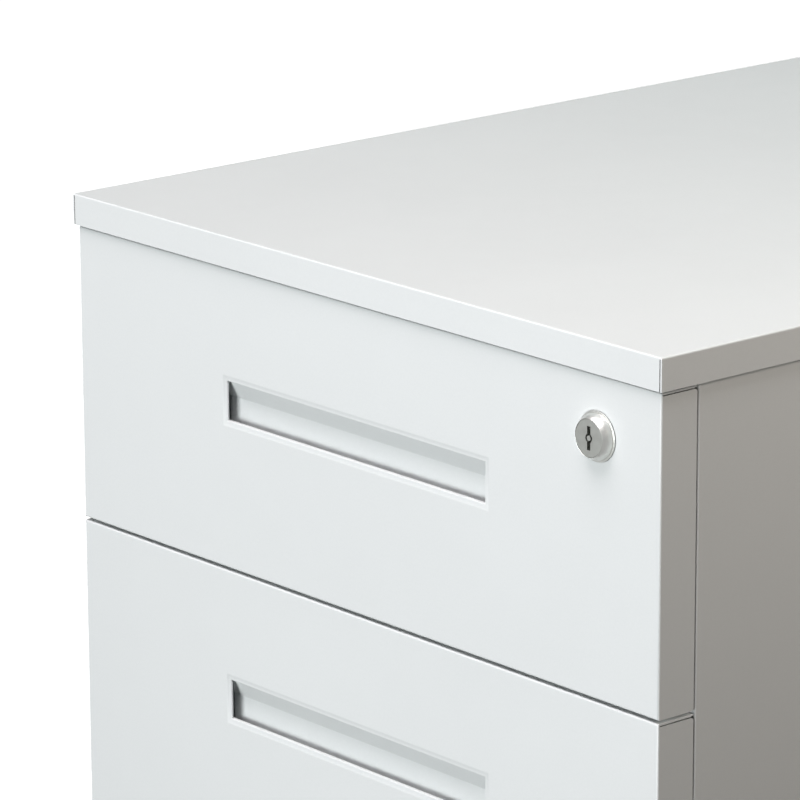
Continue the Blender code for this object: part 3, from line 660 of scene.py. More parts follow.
def top_panel():
    """A folded tray with open corner seams in its front and rear flanges."""
    low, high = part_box("top_panel")
    bm = box_mesh((low, high))
    open_sides(bm, (0, 0, -1))
    mark_folds(bm, lambda edge: 1.0 if lies_at(edge, 2, high.z) else 0.0)
    obj = new_object("top_sheet", bm, "white_powder_coat")
    add_folds(obj)
    add_sheet(obj)
    seams = []
    for side in (-1, 1):
        near = side * (high.x - TOP_SEAM_SETBACK)
        far = near - side * TOP_SEAM_WIDTH
        for flange_y in (low.y, high.y):
            seams.append((
                (min(near, far), flange_y - 1.5 * SHEET, low.z - SHEET),
                (max(near, far), flange_y + 1.5 * SHEET, high.z - FOLD_RADIUS),
            ))
    cut(obj, box_mesh(*seams))
    stand_in(shade(obj), "top_panel")


def side_panel(side_name, side):
    """A side sheet folded round into its front and rear columns."""
    node = "side_panel_" + side_name
    low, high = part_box(node)
    outer = max(abs(low.x), abs(high.x))
    inner = min(abs(low.x), abs(high.x))
    outline = [
        (inner, low.y + COLUMN_FRONT_DEPTH, low.z),
        (inner, low.y, low.z),
        (outer, low.y, low.z),
        (outer, high.y, low.z),
        (inner, high.y, low.z),
        (inner, high.y - COLUMN_BACK_DEPTH, low.z),
    ]
    bm = folded_strip(mirrored(outline, side), (0, 0, high.z - low.z))
    mark_folds(bm)
    obj = new_object("side_sheet_" + side_name, bm, "white_powder_coat")
    add_folds(obj)
    add_sheet(obj)
    notch_x = (side * (inner - SHEET), side * (outer - PANEL_LIP))
    cutters = [box_mesh((
        (min(notch_x), low.y - SHEET, low.z - SHEET),
        (max(notch_x), high.y + SHEET, BASE_TOP + CLEARANCE),
    ))]
    if side > 0:
        cam_y = LOCK_CENTRE.y + CAM_SETBACK
        cutters.append(box_mesh((
            (inner - SHEET, cam_y - CAM_SLOT_MARGIN, LOCK_CENTRE.z - CAM_SLOT_BELOW),
            (inner + 2 * SHEET, cam_y + CAM_THICKNESS + CAM_SLOT_MARGIN, LOCK_CENTRE.z + CAM_SLOT_ABOVE),
        )))
    cut(obj, *cutters)
    stand_in(shade(obj), node)


# Drawers.

def press_pull_border(bm, top):
    """Dish a border into the front face, roll its edge inwards, and open the pull inside it."""
    half = PULL_WIDTH / 2 + PULL_BORDER
    upper = top - PULL_DROP + PULL_BORDER
    lower = top - PULL_DROP - PULL_HEIGHT - PULL_BORDER
    for axis, value in ((0, -half), (0, half), (2, lower), (2, upper)):
        normal = Vector((0.0, 0.0, 0.0))
        normal[axis] = 1.0
        plane = normal * value
        bm.normal_update()
        around = {face for face in bm.faces if face.normal.y < -0.99}
        for face in list(around):
            around.update(face.edges)
            around.update(face.verts)
        bmesh.ops.bisect_plane(bm, geom=list(around), plane_co=plane, plane_no=normal)
    bm.normal_update()
    field = next(
        face for face in bm.faces
        if face.normal.y < -0.99 and abs(face.calc_center_median().x) < half
        and lower < face.calc_center_median().z < upper
    )
    inset = 0.0
    depth = 0.0
    for next_inset, next_depth in border_profile():
        bmesh.ops.inset_region(
            bm, faces=[field], thickness=next_inset - inset, depth=depth - next_depth, use_even_offset=True
        )
        inset = next_inset
        depth = next_depth
    bmesh.ops.delete(bm, geom=[field], context="FACES")


def border_profile():
    """Return (inset, depth) points from the border's outline to the end of its rolled edge."""
    dish = PULL_BORDER - PULL_ROLL_RADIUS
    points = []
    for step in range(1, PULL_DISH_STEPS + 1):
        share = step / PULL_DISH_STEPS
        points.append((dish * share, PULL_DISH * math.sin(share * math.pi / 2)))
    for step in range(1, PULL_ROLL_STEPS):
        angle = math.pi / 2 * step / PULL_ROLL_STEPS
        points.append((
            dish + PULL_ROLL_RADIUS * math.sin(angle), PULL_DISH + PULL_ROLL_RADIUS * (1 - math.cos(angle))
        ))
    points.append((PULL_BORDER, PULL_PRESS))
    return points


def corner_tools(low, high):
    """Return the shapes that round the free corners of a front's side returns."""
    angles = [math.pi / 2 * step / RETURN_CORNER_STEPS for step in range(RETURN_CORNER_STEPS + 1)]
    centre_y = high.y - RETURN_CORNER
    parts = []
    for side in (-1, 1):
        for end, inward in ((low.z, 1), (high.z, -1)):
            centre_z = end + inward * RETURN_CORNER
            bm = bmesh.new()
            outline = [(high.y + SHEET, end - inward * SHEET), (high.y + SHEET, centre_z)]
            outline += [
                (
                    centre_y + RETURN_CORNER * math.cos(angle),
                    centre_z - inward * RETURN_CORNER * math.sin(angle),
                )
                for angle in angles
            ]
            outline.append((centre_y, end - inward * SHEET))
            near = side * (high.x - 1.5 * SHEET)
            face = bm.faces.new([bm.verts.new((near, y, z)) for y, z in outline])
            swept = bmesh.ops.extrude_face_region(bm, geom=[face], use_keep_orig=True)["geom"]
            moved = [item for item in swept if isinstance(item, bmesh.types.BMVert)]
            bmesh.ops.translate(bm, vec=(side * 3 * SHEET, 0, 0), verts=moved)
            bmesh.ops.recalc_face_normals(bm, faces=bm.faces)
            parts.append(bm)
    return joined(*parts)


def drawer_front(number):
    """A folded front with a pull opening, a seam above each side return, and a lock hole on drawer 1."""
    node = "drawer_" + str(number) + "_front"
    low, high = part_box(node)
    bm = box_mesh((low, high))
    open_sides(bm, (0, 1, 0))
    press_pull_border(bm, high.z)

    def weight_of(edge):
        on_face = lies_at(edge, 1, low.y)
        outline = any(lies_at(edge, axis, value) for axis in (0, 2) for value in (low[axis], high[axis]))
        return 1.0 if on_face and outline else 0.0

    mark_folds(bm, weight_of)
    obj = new_object("drawer_" + str(number) + "_face", bm, "white_powder_coat")
    add_folds(obj)
    add_sheet(obj)
    seam_bottom = high.z - SHEET - FRONT_SEAM
    pull_top = high.z - PULL_DROP
    seams = []
    ends = []
    for side in (-1, 1):
        edges = (side * (high.x - 1.5 * SHEET), side * (high.x + SHEET))
        seams.append((
            (min(edges), low.y + FOLD_RADIUS, seam_bottom),
            (max(edges), high.y + SHEET, seam_bottom + FRONT_SEAM),
        ))
        edges = (side * (PULL_WIDTH / 2 - SHEET / 4), side * (PULL_WIDTH / 2 + 1.5 * SHEET))
        ends.append((
            (min(edges), low.y + PULL_END_DEPTH, pull_top - PULL_HEIGHT),
            (max(edges), low.y + PULL_PRESS + SHEET, pull_top),
        ))
    trims = corner_tools(low, high - Vector((0, 0, SHEET + FRONT_SEAM)))
    cutters = [box_mesh(*seams), box_mesh(*ends), trims]
    if number == 1:
        reach = Vector((0, SHEET * 3, 0))
        hole = BARREL_RADIUS + CLEARANCE
        cutters.append(rod_mesh(LOCK_CENTRE - reach, LOCK_CENTRE + reach, hole, LOCK_HOLE_STEPS))
    cut(obj, *cutters)
    stand_in(shade(obj), node)


def pull_cup(number):
    """The strip behind the pull opening: a slope, a flat back, and a pocket behind the lower lip."""
    node = "drawer_" + str(number) + "_pull_cup"
    front_low, front_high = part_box("drawer_" + str(number) + "_front")
    half = PULL_WIDTH / 2 + CUP_OVERLAP
    mouth_y = front_low.y + PULL_PRESS + CLEARANCE
    back_y = front_low.y + CUP_BACK_DEPTH
    upper = front_high.z - PULL_DROP
    lower = upper - PULL_HEIGHT - CUP_POCKET_DROP
    outline = [
        (-half, mouth_y, upper),
        (-half, back_y, upper - CUP_SLOPE_DROP),
        (-half, back_y, lower),
        (-half, mouth_y, lower),
    ]
    bm = bmesh.new()
    end = bm.faces.new([bm.verts.new(point) for point in outline])
    swept = bmesh.ops.extrude_face_region(bm, geom=[end], use_keep_orig=True)["geom"]
    moved = [item for item in swept if isinstance(item, bmesh.types.BMVert)]
    bmesh.ops.translate(bm, vec=(2 * half, 0, 0), verts=moved)
    bmesh.ops.recalc_face_normals(bm, faces=bm.faces)
    open_sides(bm, (0, -1, 0), (-1, 0, 0), (1, 0, 0))
    rim = [edge for edge in bm.edges if lies_at(edge, 1, mouth_y)]
    flange = bmesh.ops.extrude_edge_only(bm, edges=rim)["geom"]
    for vert in flange:
        if isinstance(vert, bmesh.types.BMVert):
            vert.co.z += CUP_FLANGE if vert.co.z > (upper + lower) / 2 else -CUP_FLANGE
    mark_folds(bm, lambda edge: 0.0 if lies_at(edge, 1, mouth_y) else CUP_FOLD)
    obj = new_object("drawer_" + str(number) + "_cup", bm, "white_powder_coat")
    add_folds(obj, steps=CUP_FOLD_STEPS)
    add_sheet(obj, side=1.0)
    apply_modifiers(obj)
    stand_in(shade(obj), node)


def tray(number):
    """An open box with its rim folded outwards at the sides and the back."""
    node = "drawer_" + str(number) + "_tray"
    low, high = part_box(node)
    wall_x = high.x - TRAY_RIM
    wall_y = high.y - TRAY_RIM
    bm = box_mesh(((-wall_x, low.y, low.z), (wall_x, wall_y, high.z)))
    open_sides(bm, (0, 0, 1), (0, -1, 0))
    rim = [edge for edge in bm.edges if edge.is_boundary and lies_at(edge, 2, high.z)]
    folded = bmesh.ops.extrude_edge_only(bm, edges=rim)["geom"]
    for vert in folded:
        if isinstance(vert, bmesh.types.BMVert):
            vert.co.x += math.copysign(TRAY_RIM, vert.co.x)
            if vert.co.y > 0.0:
                vert.co.y += TRAY_RIM
    mark_folds(bm, lambda edge: 1.0 if lies_at(edge, 2, low.z) else 0.0)
    obj = new_object("drawer_" + str(number) + "_box", bm, "white_powder_coat")
    add_folds(obj)
    add_sheet(obj)
    cutters = []
    if number == 1:
        cam_back = LOCK_CENTRE.y + CAM_SETBACK + CAM_THICKNESS + TRAY_NOTCH_DEPTH
        cutters.append(box_mesh((
            (wall_x - 2 * SHEET, low.y - SHEET, LOCK_CENTRE.z - TRAY_NOTCH_DROP),
            (high.x + SHEET, cam_back, LOCK_CENTRE.z),
        )))
    cut(obj, *cutters)
    stand_in(shade(obj), node)


# Fasteners.

def cross_head(radius, height):
    """Return a pan head with a cross recess, its seat at height 0 and looking along local Z."""
    crown = arc(radius - height * 0.8, height * 0.2, height * 0.8, 0, 90, 5)
    profile = [(0.0, height)] + list(reversed(crown)) + [(radius, 0.0), (0.0, 0.0)]
    head = new_object("head", lathe(profile, 24), "galvanised_steel")
    arm = radius * 0.55
    blade = radius * 0.11
    depth = height * 0.45
    cut(
        head,
        box_mesh(((-arm, -blade, depth), (arm, blade, 2 * height))),
        box_mesh(((-blade, -arm, depth), (blade, arm, 2 * height))),
    )
    bm = bmesh.new()
    bm.from_mesh(head.data)
    bpy.data.objects.remove(head, do_unlink=True)
    return bm


def hex_head(radius, height):
    """Return a hexagon head on a round washer, looking along local Z."""
    rim = radius * WASHER_SPREAD
    washer = lathe([(0.0, WASHER_THICKNESS), (rim, WASHER_THICKNESS), (rim, 0.0), (0.0, 0.0)], 32)
    chamfer = radius * 0.12
    top = height + WASHER_THICKNESS
    seat = WASHER_THICKNESS + EDGE_BREAK
    profile = [(0.0, top), (radius - chamfer, top), (radius, top - chamfer), (radius, seat), (0.0, seat)]
    return joined(washer, lathe(profile, 6))


def rivet_head(radius, height):
    """Return a low dome, looking along local Z."""
    crown = arc(radius - height, 0.0, height, 90, 0, 4)
    return lathe([(0.0, height)] + crown + [(0.0, 0.0)], 20)


def fasten(name, template, spots, body, finish):
    """Set a row of heads on a body: each spot is a place and the way its head looks."""
    matrices = [facing(place, direction) for place, direction in spots]
    obj = new_object(name, scattered(template, matrices), finish)
    dress(shade(obj), body)


def drawer_fasteners(number):
    """The screws from tray to slides, and the rivets of the inner panel."""
    name = "drawer_" + str(number)
    body = BODY_OF[name + "_front"]
    tray_low, tray_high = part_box(name + "_tray")
    inner_x = tray_high.x - TRAY_RIM - SHEET
    slide_z = sum(corner.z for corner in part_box("slide_" + str(number) + "_left_drawer_member")) / 2
    spots = [
        ((side * inner_x, tray_low.y + offset, slide_z), (-side, 0, 0))
        for _, side in SIDES for offset in SLIDE_SCREW_OFFSETS
    ]
    fasten(name + "_slide_screws", cross_head(*SLIDE_SCREW), spots, body, "galvanised_steel")
    liner_low, liner_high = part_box(name + "_inner_panel")
    heights = (liner_high.z - LINER_RIVET_TOP, liner_low.z + LINER_RIVET_BOTTOM)
    spots = [
        ((side * (liner_high.x - LINER_RIVET_SIDE), liner_high.y, height), (0, 1, 0))
        for _, side in SIDES for height in heights
    ]
    fasten(name + "_liner_rivets", rivet_head(*LINER_RIVET), spots, body, "galvanised_steel")


def cabinet_fasteners():
    """Two columns of screws that hold the back panel."""
    low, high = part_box("back_panel")
    pitch = (high.z - low.z - 2 * BACK_SCREW_END) / (BACK_SCREW_ROWS - 1)
    rows = [low.z + BACK_SCREW_END + i * pitch for i in range(BACK_SCREW_ROWS)]
    spots = [((side * (high.x - BACK_SCREW_SIDE), high.y, z), (0, 1, 0)) for _, side in SIDES for z in rows]
    fasten("back_panel_screws", cross_head(*BACK_SCREW), spots, "cabinet", "galvanised_steel")


def front_buffers():
    """Small rubber discs on the columns, where each drawer front comes to rest."""
    profile = [
        (0.0, BUFFER_HEIGHT), (BUFFER_RADIUS - 0.0003, BUFFER_HEIGHT),
        (BUFFER_RADIUS, BUFFER_HEIGHT - 0.0002), (BUFFER_RADIUS, 0.0), (0.0, 0.0),
    ]
    column_low, column_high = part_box("side_panel_right")
    x = (column_low.x + column_high.x) / 2
    spots = []
    for number in DRAWERS:
        low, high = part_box("drawer_" + str(number) + "_front")
        for _, side in SIDES:
            for z in (low.z + BUFFER_END, high.z - BUFFER_END):
                spots.append(((side * x, column_low.y, z), (0, -1, 0)))
    fasten("drawer_buffers", lathe(profile, 24), spots, "cabinet", "black_rubber")


# Slides.

def ball_races(number, side_name, side):
    """The balls between a slide's members, in their cages, which stay with the middle member."""
    name = "slide_" + str(number) + "_" + side_name
    cabinet_low, cabinet_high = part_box(name + "_cabinet_member")
    middle_low, middle_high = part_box(name + "_middle_member")
    drawer_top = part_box(name + "_drawer_member")[1].z
    start = max(abs(cabinet_low.x), abs(cabinet_high.x))
    height = (middle_low.z + middle_high.z) / 2
    outer_start = middle_low.y + SLIDE_TRAVEL + OUTER_RACE_START
    rows = (
        (middle_high.z, cabinet_high.z - SLIDE_SHEET, OUTER_RACE_INSET, outer_start),
        (drawer_top, middle_high.z - SLIDE_SHEET, INNER_RACE_INSET, middle_low.y + INNER_RACE_START),
    )
    cages = []
    for inner, outer, inset, first_y in rows:
        middle = (inner + outer) / 2 - height
        radius = (outer - inner) / 2 - BALL_PLAY
        x = side * (start - inset)
        matrices = [
            Matrix.Translation((x, first_y + i * BALL_PITCH, height + up * middle))
            for up in (-1, 1) for i in range(BALLS_IN_ROW)
        ]
        ball = bmesh.new()
        bmesh.ops.create_icosphere(ball, subdivisions=2, radius=radius)
        cages.append(scattered(ball, matrices))
        last_y = first_y + (BALLS_IN_ROW - 1) * BALL_PITCH
        for up in (-1, 1):
            z = height + up * middle
            cages.append(box_mesh((
                (x - CAGE_HALF_WIDTH, first_y - CAGE_END, z - CAGE_HALF_THICKNESS),
                (x + CAGE_HALF_WIDTH, last_y + CAGE_END, z + CAGE_HALF_THICKNESS),
            )))
    obj = new_object(name + "_ball_cages", joined(*cages), "galvanised_steel")
    dress(shade(obj), BODY_OF[name + "_middle_member"])


# Lock.

def lock_housing():
    """The fixed barrel, with a thin rim and a bulged cone that rises from it to the plug."""
    bore = PLUG_RADIUS + CLEARANCE
    top_radius = bore + EDGE_BREAK
    profile = arc(top_radius, BEZEL_PROUD - EDGE_BREAK, EDGE_BREAK, 180, 90, 4)
    for step in range(1, BEZEL_STEPS + 1):
        t = step / BEZEL_STEPS
        bulge = 2.0 * t * (1.0 - t) * BEZEL_BULGE
        profile.append((
            top_radius + t * (BEZEL_CONE_RADIUS - top_radius) + bulge,
            BEZEL_PROUD + t * (BEZEL_RIM - BEZEL_PROUD) + bulge,
        ))
    profile += arc(BEZEL_RADIUS - EDGE_BREAK, BEZEL_RIM - EDGE_BREAK, EDGE_BREAK, 90, 0, 4)
    profile += [
        (BEZEL_RADIUS, CLEARANCE),
        (BARREL_RADIUS, CLEARANCE),
        (BARREL_RADIUS, -BARREL_LENGTH),
        (bore, -BARREL_LENGTH),
    ]
    bm = lathe(profile, 128, facing(LOCK_CENTRE, (0, -1, 0)))
    stand_in(shade(new_object("lock_bezel", bm, "satin_nickel")), "lock_housing")


def lock_plug():
    """The turning plug, with a keyway of two slots about a round pin."""
    face = LOCK_FACE_PROUD
    head = PLUG_RADIUS + CLEARANCE - PLUG_GAP
    profile = [
        (0.0, face),
        (head - EDGE_BREAK, face),
        (head, face - EDGE_BREAK),
        (head, -BARREL_LENGTH - CLEARANCE),
        (TAIL_RADIUS, -BARREL_LENGTH - CLEARANCE),
        (TAIL_RADIUS, -TAIL_LENGTH),
        (0.0, -TAIL_LENGTH),
    ]
    # The plug's darker nickel is a painted shade.
    obj = new_object("lock_core", lathe(profile, 96, facing(LOCK_CENTRE, (0, -1, 0))), "plug_nickel_shaded")
    outer_y = LOCK_CENTRE.y - face - SHEET
    inner_y = LOCK_CENTRE.y - face + KEYWAY_DEPTH
    near = KEYWAY_CORE_RADIUS * 0.8
    slots = [
        (
            (LOCK_CENTRE.x - KEYWAY_WIDTH / 2, outer_y, LOCK_CENTRE.z + low),
            (LOCK_CENTRE.x + KEYWAY_WIDTH / 2, inner_y, LOCK_CENTRE.z + high),
        )
        for low, high in ((near, KEYWAY_LENGTH / 2), (-KEYWAY_LENGTH / 2, -near))
    ]
    ring = lathe(
        [
            (KEYWAY_PIN_RADIUS, face + SHEET), (KEYWAY_CORE_RADIUS, face + SHEET),
            (KEYWAY_CORE_RADIUS, face - KEYWAY_DEPTH), (KEYWAY_PIN_RADIUS, face - KEYWAY_DEPTH),
        ],
        40, facing(LOCK_CENTRE, (0, -1, 0))
    )
    cut(obj, box_mesh(*slots), ring)
    stand_in(shade(obj), "lock_plug")


def cam_nut():
    """The nut that holds the cam on the plug's tail."""
    start = LOCK_CENTRE.y + CAM_SETBACK + CAM_THICKNESS + EDGE_BREAK
    profile = [
        (TAIL_RADIUS, 0.0),
        (CAM_NUT_RADIUS - CAM_NUT_CHAMFER, 0.0),
        (CAM_NUT_RADIUS, 0.0003),
        (CAM_NUT_RADIUS, CAM_NUT_THICKNESS),
        (TAIL_RADIUS, CAM_NUT_THICKNESS),
    ]
    place = facing((LOCK_CENTRE.x, start, LOCK_CENTRE.z), (0, 1, 0))
    obj = new_object("lock_cam_nut", lathe(profile, 6, place), "galvanised_steel")
    dress(shade(obj), "lock")


# Castors.

def castor_plate(name, centre):
    """The fixed plate with rounded corners, four bolts, the raceway and the kingpin."""
    node = name + "_plate"
    low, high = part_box(node)
    bottom = high.z - PLATE_THICKNESS
    bm = box_mesh(((low.x, low.y, bottom), high))
    upright = [edge for edge in bm.edges if abs(edge.verts[0].co.z - edge.verts[1].co.z) > 0.001]
    bmesh.ops.bevel(bm, geom=upright, offset=PLATE_CORNER, segments=6, affect="EDGES", profile=0.5)
    race = [(0.0, -EDGE_BREAK), (RACEWAY_RADIUS, -EDGE_BREAK)]
    race += arc(RACEWAY_RADIUS - RACEWAY_EDGE, -RACEWAY_HEIGHT + RACEWAY_EDGE, RACEWAY_EDGE, 0, -90, 4)
    race += [
        (RACEWAY_DIMPLE_RADIUS + 0.0010, -RACEWAY_HEIGHT),
        (RACEWAY_DIMPLE_RADIUS, -RACEWAY_HEIGHT + RACEWAY_DIMPLE_DEPTH),
        (0.0, -RACEWAY_HEIGHT + RACEWAY_DIMPLE_DEPTH),
    ]
    pin = [
        (0.0, -0.001),
        (KINGPIN_RADIUS, -0.001),
        (KINGPIN_RADIUS, -KINGPIN_LENGTH + KINGPIN_CHAMFER),
        (KINGPIN_RADIUS - KINGPIN_CHAMFER, -KINGPIN_LENGTH),
        (0.0, -KINGPIN_LENGTH),
    ]
    place = Matrix.Translation((centre.x, centre.y, bottom))
    mount = joined(bm, lathe(race, 48, place), lathe(pin, 24, place))
    stand_in(shade(new_object(name + "_mount", mount, "black_steel")), node)
    spots = [
        ((centre.x + across * PLATE_BOLT_OFFSET, centre.y + along * PLATE_BOLT_OFFSET, bottom), (0, 0, -1))
        for across in (-1, 1) for along in (-1, 1)
    ]
    fasten(name + "_bolts", hex_head(*PLATE_BOLT), spots, "cabinet", "galvanised_steel")


def castor_fork(name, centre, axle):
    """A folded yoke that trails back to the axle and narrows to its rounded feet."""
    node = name + "_fork"
    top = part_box(node)[1].z
    half = FORK_GAP / 2 + FORK_SHEET
    foot = axle.z - FORK_FOOT_DROP
    y = centre.y - FORK_LENGTH / 2
    outline = [
        (centre.x - half, y, foot),
        (centre.x - half, y, top),
        (centre.x + half, y, top),
        (centre.x + half, y, foot),
    ]
    bm = folded_strip(outline, (0, FORK_LENGTH, 0))
    lean = (axle.y - centre.y) * (top - foot) / (top - axle.z)
    feet = [vert for vert in bm.verts if vert.co.z < axle.z]
    for vert in feet:
        narrowed = (vert.co.y - centre.y) * FORK_FOOT_LENGTH / FORK_LENGTH
        vert.co.y = centre.y + lean + narrowed
    bmesh.ops.bevel(bm, geom=feet, offset=FORK_CORNER, segments=6, affect="VERTICES", profile=0.5)
    mark_folds(bm, lambda edge: 1.0 if lies_at(edge, 2, top) else 0.0)
    obj = new_object(name + "_yoke", bm, "black_steel")
    add_folds(obj, radius=FORK_FOLD, steps=8)
    add_sheet(obj, thickness=FORK_SHEET)
    reach = Vector((half + SHEET, 0, 0))
    above = Vector((centre.x, centre.y, top + SHEET))
    below = Vector((centre.x, centre.y, top - FORK_SHEET - SHEET))
    cut(
        obj,
        rod_mesh(axle - reach, axle + reach, KINGPIN_RADIUS + CLEARANCE, 32),
        rod_mesh(below, above, KINGPIN_RADIUS + CLEARANCE, 32),
    )
    stand_in(shade(obj), node)


def castor_axle(name, axle):
    """A bolt through the fork, with a domed head at each end."""
    node = name + "_axle"
    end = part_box(node)[1].x - axle.x
    fork_face = FORK_GAP / 2 + FORK_SHEET + EDGE_BREAK
    profile = doubled([
        (0.0, end), (AXLE_HEAD_TOP_RADIUS, end), (AXLE_HEAD_RADIUS, end - AXLE_HEAD_DOME),
        (AXLE_HEAD_RADIUS, fork_face), (AXLE_SHANK_RADIUS, fork_face),
    ])
    obj = new_object(name + "_bolt", lathe(profile, 32, facing(axle, (1, 0, 0))), "galvanised_steel")
    stand_in(shade(obj), node)


def castor_wheel(name, axle):
    """A rubber tyre on a ribbed core."""
    node = name + "_wheel"
    tread = axle.z
    place = facing(axle, (1, 0, 0))
    shoulder = arc(tread - TYRE_SHOULDER, WHEEL_HALF - TYRE_SHOULDER, TYRE_SHOULDER, 90, 8, 7)
    profile = doubled(
        [(TYRE_SEAT, WHEEL_HALF - 0.0012), (TYRE_SEAT + 0.0012, WHEEL_HALF)]
        + shoulder + [(tread, TYRE_CROWN_HALF)]
    )
    tyre = new_object(name + "_tyre", lathe(profile, 96, place), "black_rubber")
    stand_in(shade(tyre), node)
    bore = KINGPIN_RADIUS + CLEARANCE
    hub = [(bore, HUB_HALF), (HUB_RADIUS, HUB_HALF), (HUB_RADIUS + 0.0006, HUB_HALF - 0.0006)]
    web = [(0.0090, WEB_HALF + 0.0004), (0.0094, WEB_HALF), (0.0156, WEB_HALF), (0.0160, WEB_HALF + 0.0004)]
    rim = [
        (0.0164, WHEEL_HALF - 0.0012), (0.0168, WHEEL_HALF - 0.0008),
        (TYRE_SEAT - 0.0003, WHEEL_HALF - 0.0008), (TYRE_SEAT - 0.0001, WHEEL_HALF - 0.0012),
    ]
    core = lathe(doubled(hub + web + rim), 96)
    rib = box_mesh((
        (RIB_INNER, -RIB_HALF_THICKNESS, -RIB_HALF_HEIGHT), (RIB_OUTER, RIB_HALF_THICKNESS, RIB_HALF_HEIGHT)
    ))
    ribs = scattered(rib, [Matrix.Rotation(2 * math.pi * i / RIB_COUNT, 4, "Z") for i in range(RIB_COUNT)])
    obj = new_object(name + "_core", placed(joined(core, ribs), place), "grey_plastic")
    dress(shade(obj), BODY_OF[node])


def castor(row, side_name):
    """One castor at a corner: its plate, fork, axle and wheel."""
    name = "castor_" + row + "_" + side_name
    plate_low, plate_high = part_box(name + "_plate")
    wheel_low, wheel_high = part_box(name + "_wheel")
    centre = (plate_low + plate_high) / 2
    axle = (wheel_low + wheel_high) / 2
    castor_plate(name, centre)
    castor_fork(name, centre, axle)
    castor_axle(name, axle)
    castor_wheel(name, axle)


# Floor, light and camera.

def studio_floor():
    """A plain pale floor that carries soft shadows, and glows with painted light, weaker near the cabinet
    and full white further out.
    """
    bm = bmesh.new()
    bmesh.ops.create_circle(bm, cap_ends=True, segments=WALL_STEPS, radius=WALL_RADIUS)
    bmesh.ops.translate(bm, vec=(0.0, 0.0, CAD_BOX[0].z - FLOOR_DROP), verts=bm.verts)
    material, tree, shader = new_finish("floor_paint_glow", Roughness=0.9)
    place = object_coordinates(tree)
    pale = ramp(tree, noise(tree, place, 3.0, 3.0), (0.50,) * 3, (0.51,) * 3)
    link(tree, pale, shader.inputs["Base Color"])
    # Painted light: the floor glows, weaker near the cabinet and full white further out.
    shader.inputs["Emission Color"].default_value = (1.0, 1.0, 1.0, 1.0)
    distance = tree.nodes.new("ShaderNodeVectorMath")
    distance.operation = "LENGTH"
    link(tree, place, distance.inputs[0])
    glow = tree.nodes.new("ShaderNodeMapRange")
    glow.interpolation_type = "SMOOTHSTEP"
    glow.inputs["From Min"].default_value = FLOOR_NEAR_RADIUS
    glow.inputs["From Max"].default_value = FLOOR_FAR_RADIUS
    glow.inputs["To Min"].default_value = FLOOR_GLOW_NEAR
    glow.inputs["To Max"].default_value = FLOOR_GLOW_FAR
    link(tree, distance.outputs["Value"], glow.inputs["Value"])
    link(tree, glow.outputs["Result"], shader.inputs["Emission Strength"])
    FINISHES["floor"] = material
    obj = new_object("studio_floor", bm, "floor")
    obj.visible_diffuse = False
    obj.visible_glossy = False


def studio_wall():
    """A far white wall around the floor, so that low views have no horizon line."""
    bm = bmesh.new()
    bmesh.ops.create_cone(
        bm, cap_ends=False, segments=WALL_STEPS, radius1=WALL_RADIUS, radius2=WALL_RADIUS,
        depth=WALL_RADIUS, matrix=Matrix.Translation((0.0, 0.0, CAD_BOX[0].z + WALL_RADIUS / 2))
    )
    obj = new_object("studio_wall", bm, "floor")
    obj.visible_diffuse = False
    obj.visible_glossy = False
    obj.visible_shadow = False


def soft_light(name, place, width, height, power, colour, target=LIGHT_TARGET):
    """Add an area light that faces a point of the cabinet."""
    data = bpy.data.lights.new(name, "AREA")
    data.shape = "RECTANGLE"
    data.size = width
    data.size_y = height
    data.energy = power
    data.color = colour
    obj = bpy.data.objects.new(name, data)
    obj.location = place
    obj.rotation_mode = "QUATERNION"
    obj.rotation_quaternion = (target - Vector(place)).to_track_quat("-Z", "Y")
    bpy.context.scene.collection.objects.link(obj)
    return obj


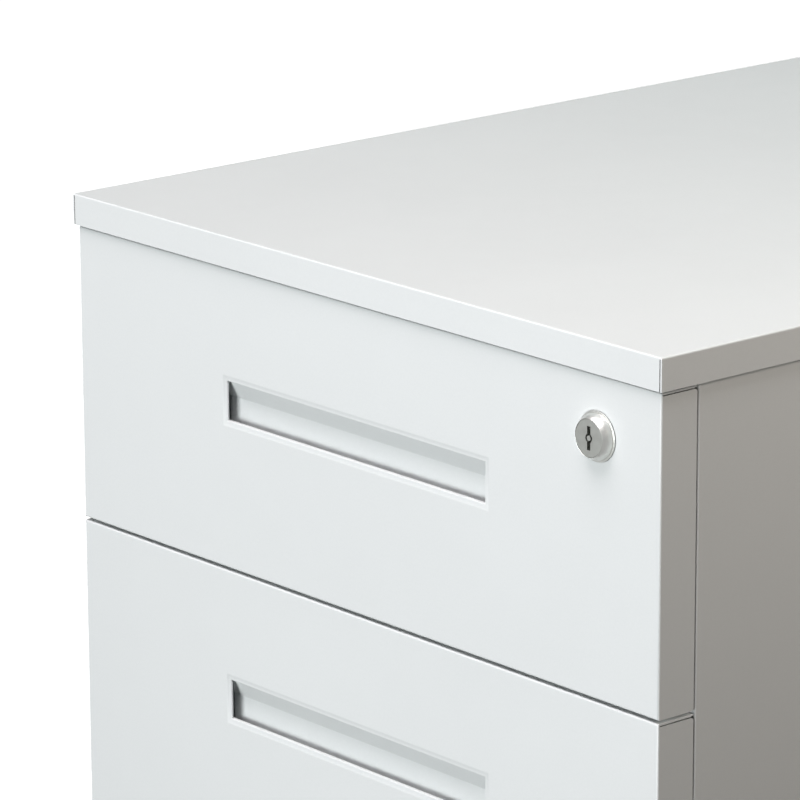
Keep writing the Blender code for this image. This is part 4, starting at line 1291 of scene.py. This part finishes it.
def studio_light():
    """Five soft lights, and a pale surround that shows in reflections but lights nothing else."""
    soft_light("key", (0.10, -2.40, 0.60), 1.4, 0.8, 38.7, (0.957, 0.996, 1.0))
    soft_light("overhead_front", (0.10, -0.90, 2.40), 1.6, 1.2, 37.4, (1.0, 0.945, 0.967))
    soft_light("overhead_back", (0.0, 0.90, 2.40), 1.6, 1.2, 5.0, (0.50, 1.0, 0.86))
    soft_light("fill", (0.85, 0.02, 1.05), 0.5, 0.5, 3.1, (1.0, 0.91, 0.81), FILL_TARGET)
    rear = soft_light("rear", (-1.70, 2.20, 0.75), 1.4, 1.2, 24.0, (1.0, 1.0, 1.0))
    rear.visible_glossy = False
    world = bpy.data.worlds.new("studio")
    world.use_nodes = True
    background = world.node_tree.nodes["Background"]
    background.inputs["Color"].default_value = (1.0, 1.0, 1.0, 1.0)
    background.inputs["Strength"].default_value = WORLD_STRENGTH
    world.cycles_visibility.diffuse = False
    bpy.context.scene.world = world
    bpy.context.scene.view_settings.view_transform = "Standard"
    bpy.context.scene.view_settings.look = "None"


def studio_camera():
    """The camera, near the cabinet's right front corner and above it, with a long lens."""
    azimuth = math.radians(CAMERA_AZIMUTH)
    elevation = math.radians(CAMERA_ELEVATION)
    roll = math.radians(CAMERA_ROLL)
    ahead = Vector((
        -math.sin(azimuth) * math.cos(elevation),
        math.cos(azimuth) * math.cos(elevation),
        -math.sin(elevation),
    ))
    level = Vector((math.cos(azimuth), math.sin(azimuth), 0.0))
    upward = level.cross(ahead)
    right = level * math.cos(roll) + upward * math.sin(roll)
    up = upward * math.cos(roll) - level * math.sin(roll)
    data = bpy.data.cameras.new("camera")
    data.lens = CAMERA_LENS
    data.sensor_width = CAMERA_SENSOR
    data.clip_start, data.clip_end = CAMERA_CLIP
    obj = bpy.data.objects.new("camera", data)
    bpy.context.scene.collection.objects.link(obj)
    turn = Matrix((right, up, -ahead)).transposed()
    obj.matrix_world = Matrix.Translation(CAMERA_PLACE) @ turn.to_4x4()
    bpy.context.scene.camera = obj


# Everything in its place.

LOCK_CENTRE = Vector((
    LOCK_CENTRE_X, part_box("drawer_1_front")[0].y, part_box("drawer_1_front")[1].z - LOCK_DROP
))
FINISHES = make_finishes(LOCK_CENTRE)
for node_object in NODES.values():
    node_object.data.materials[0] = FINISHES[node_object.data.materials[0].name.split(".")[0]]

top_panel()
for side_word, side_sign in SIDES:
    side_panel(side_word, side_sign)
for drawer_number in DRAWERS:
    drawer_front(drawer_number)
    pull_cup(drawer_number)
    tray(drawer_number)
    drawer_fasteners(drawer_number)
    for side_word, side_sign in SIDES:
        ball_races(drawer_number, side_word, side_sign)
cabinet_fasteners()
front_buffers()
lock_housing()
lock_plug()
cam_nut()
for row_word in ("front", "back"):
    for side_word, side_sign in SIDES:
        castor(row_word, side_word)
studio_floor()
studio_wall()
studio_light()
studio_camera()
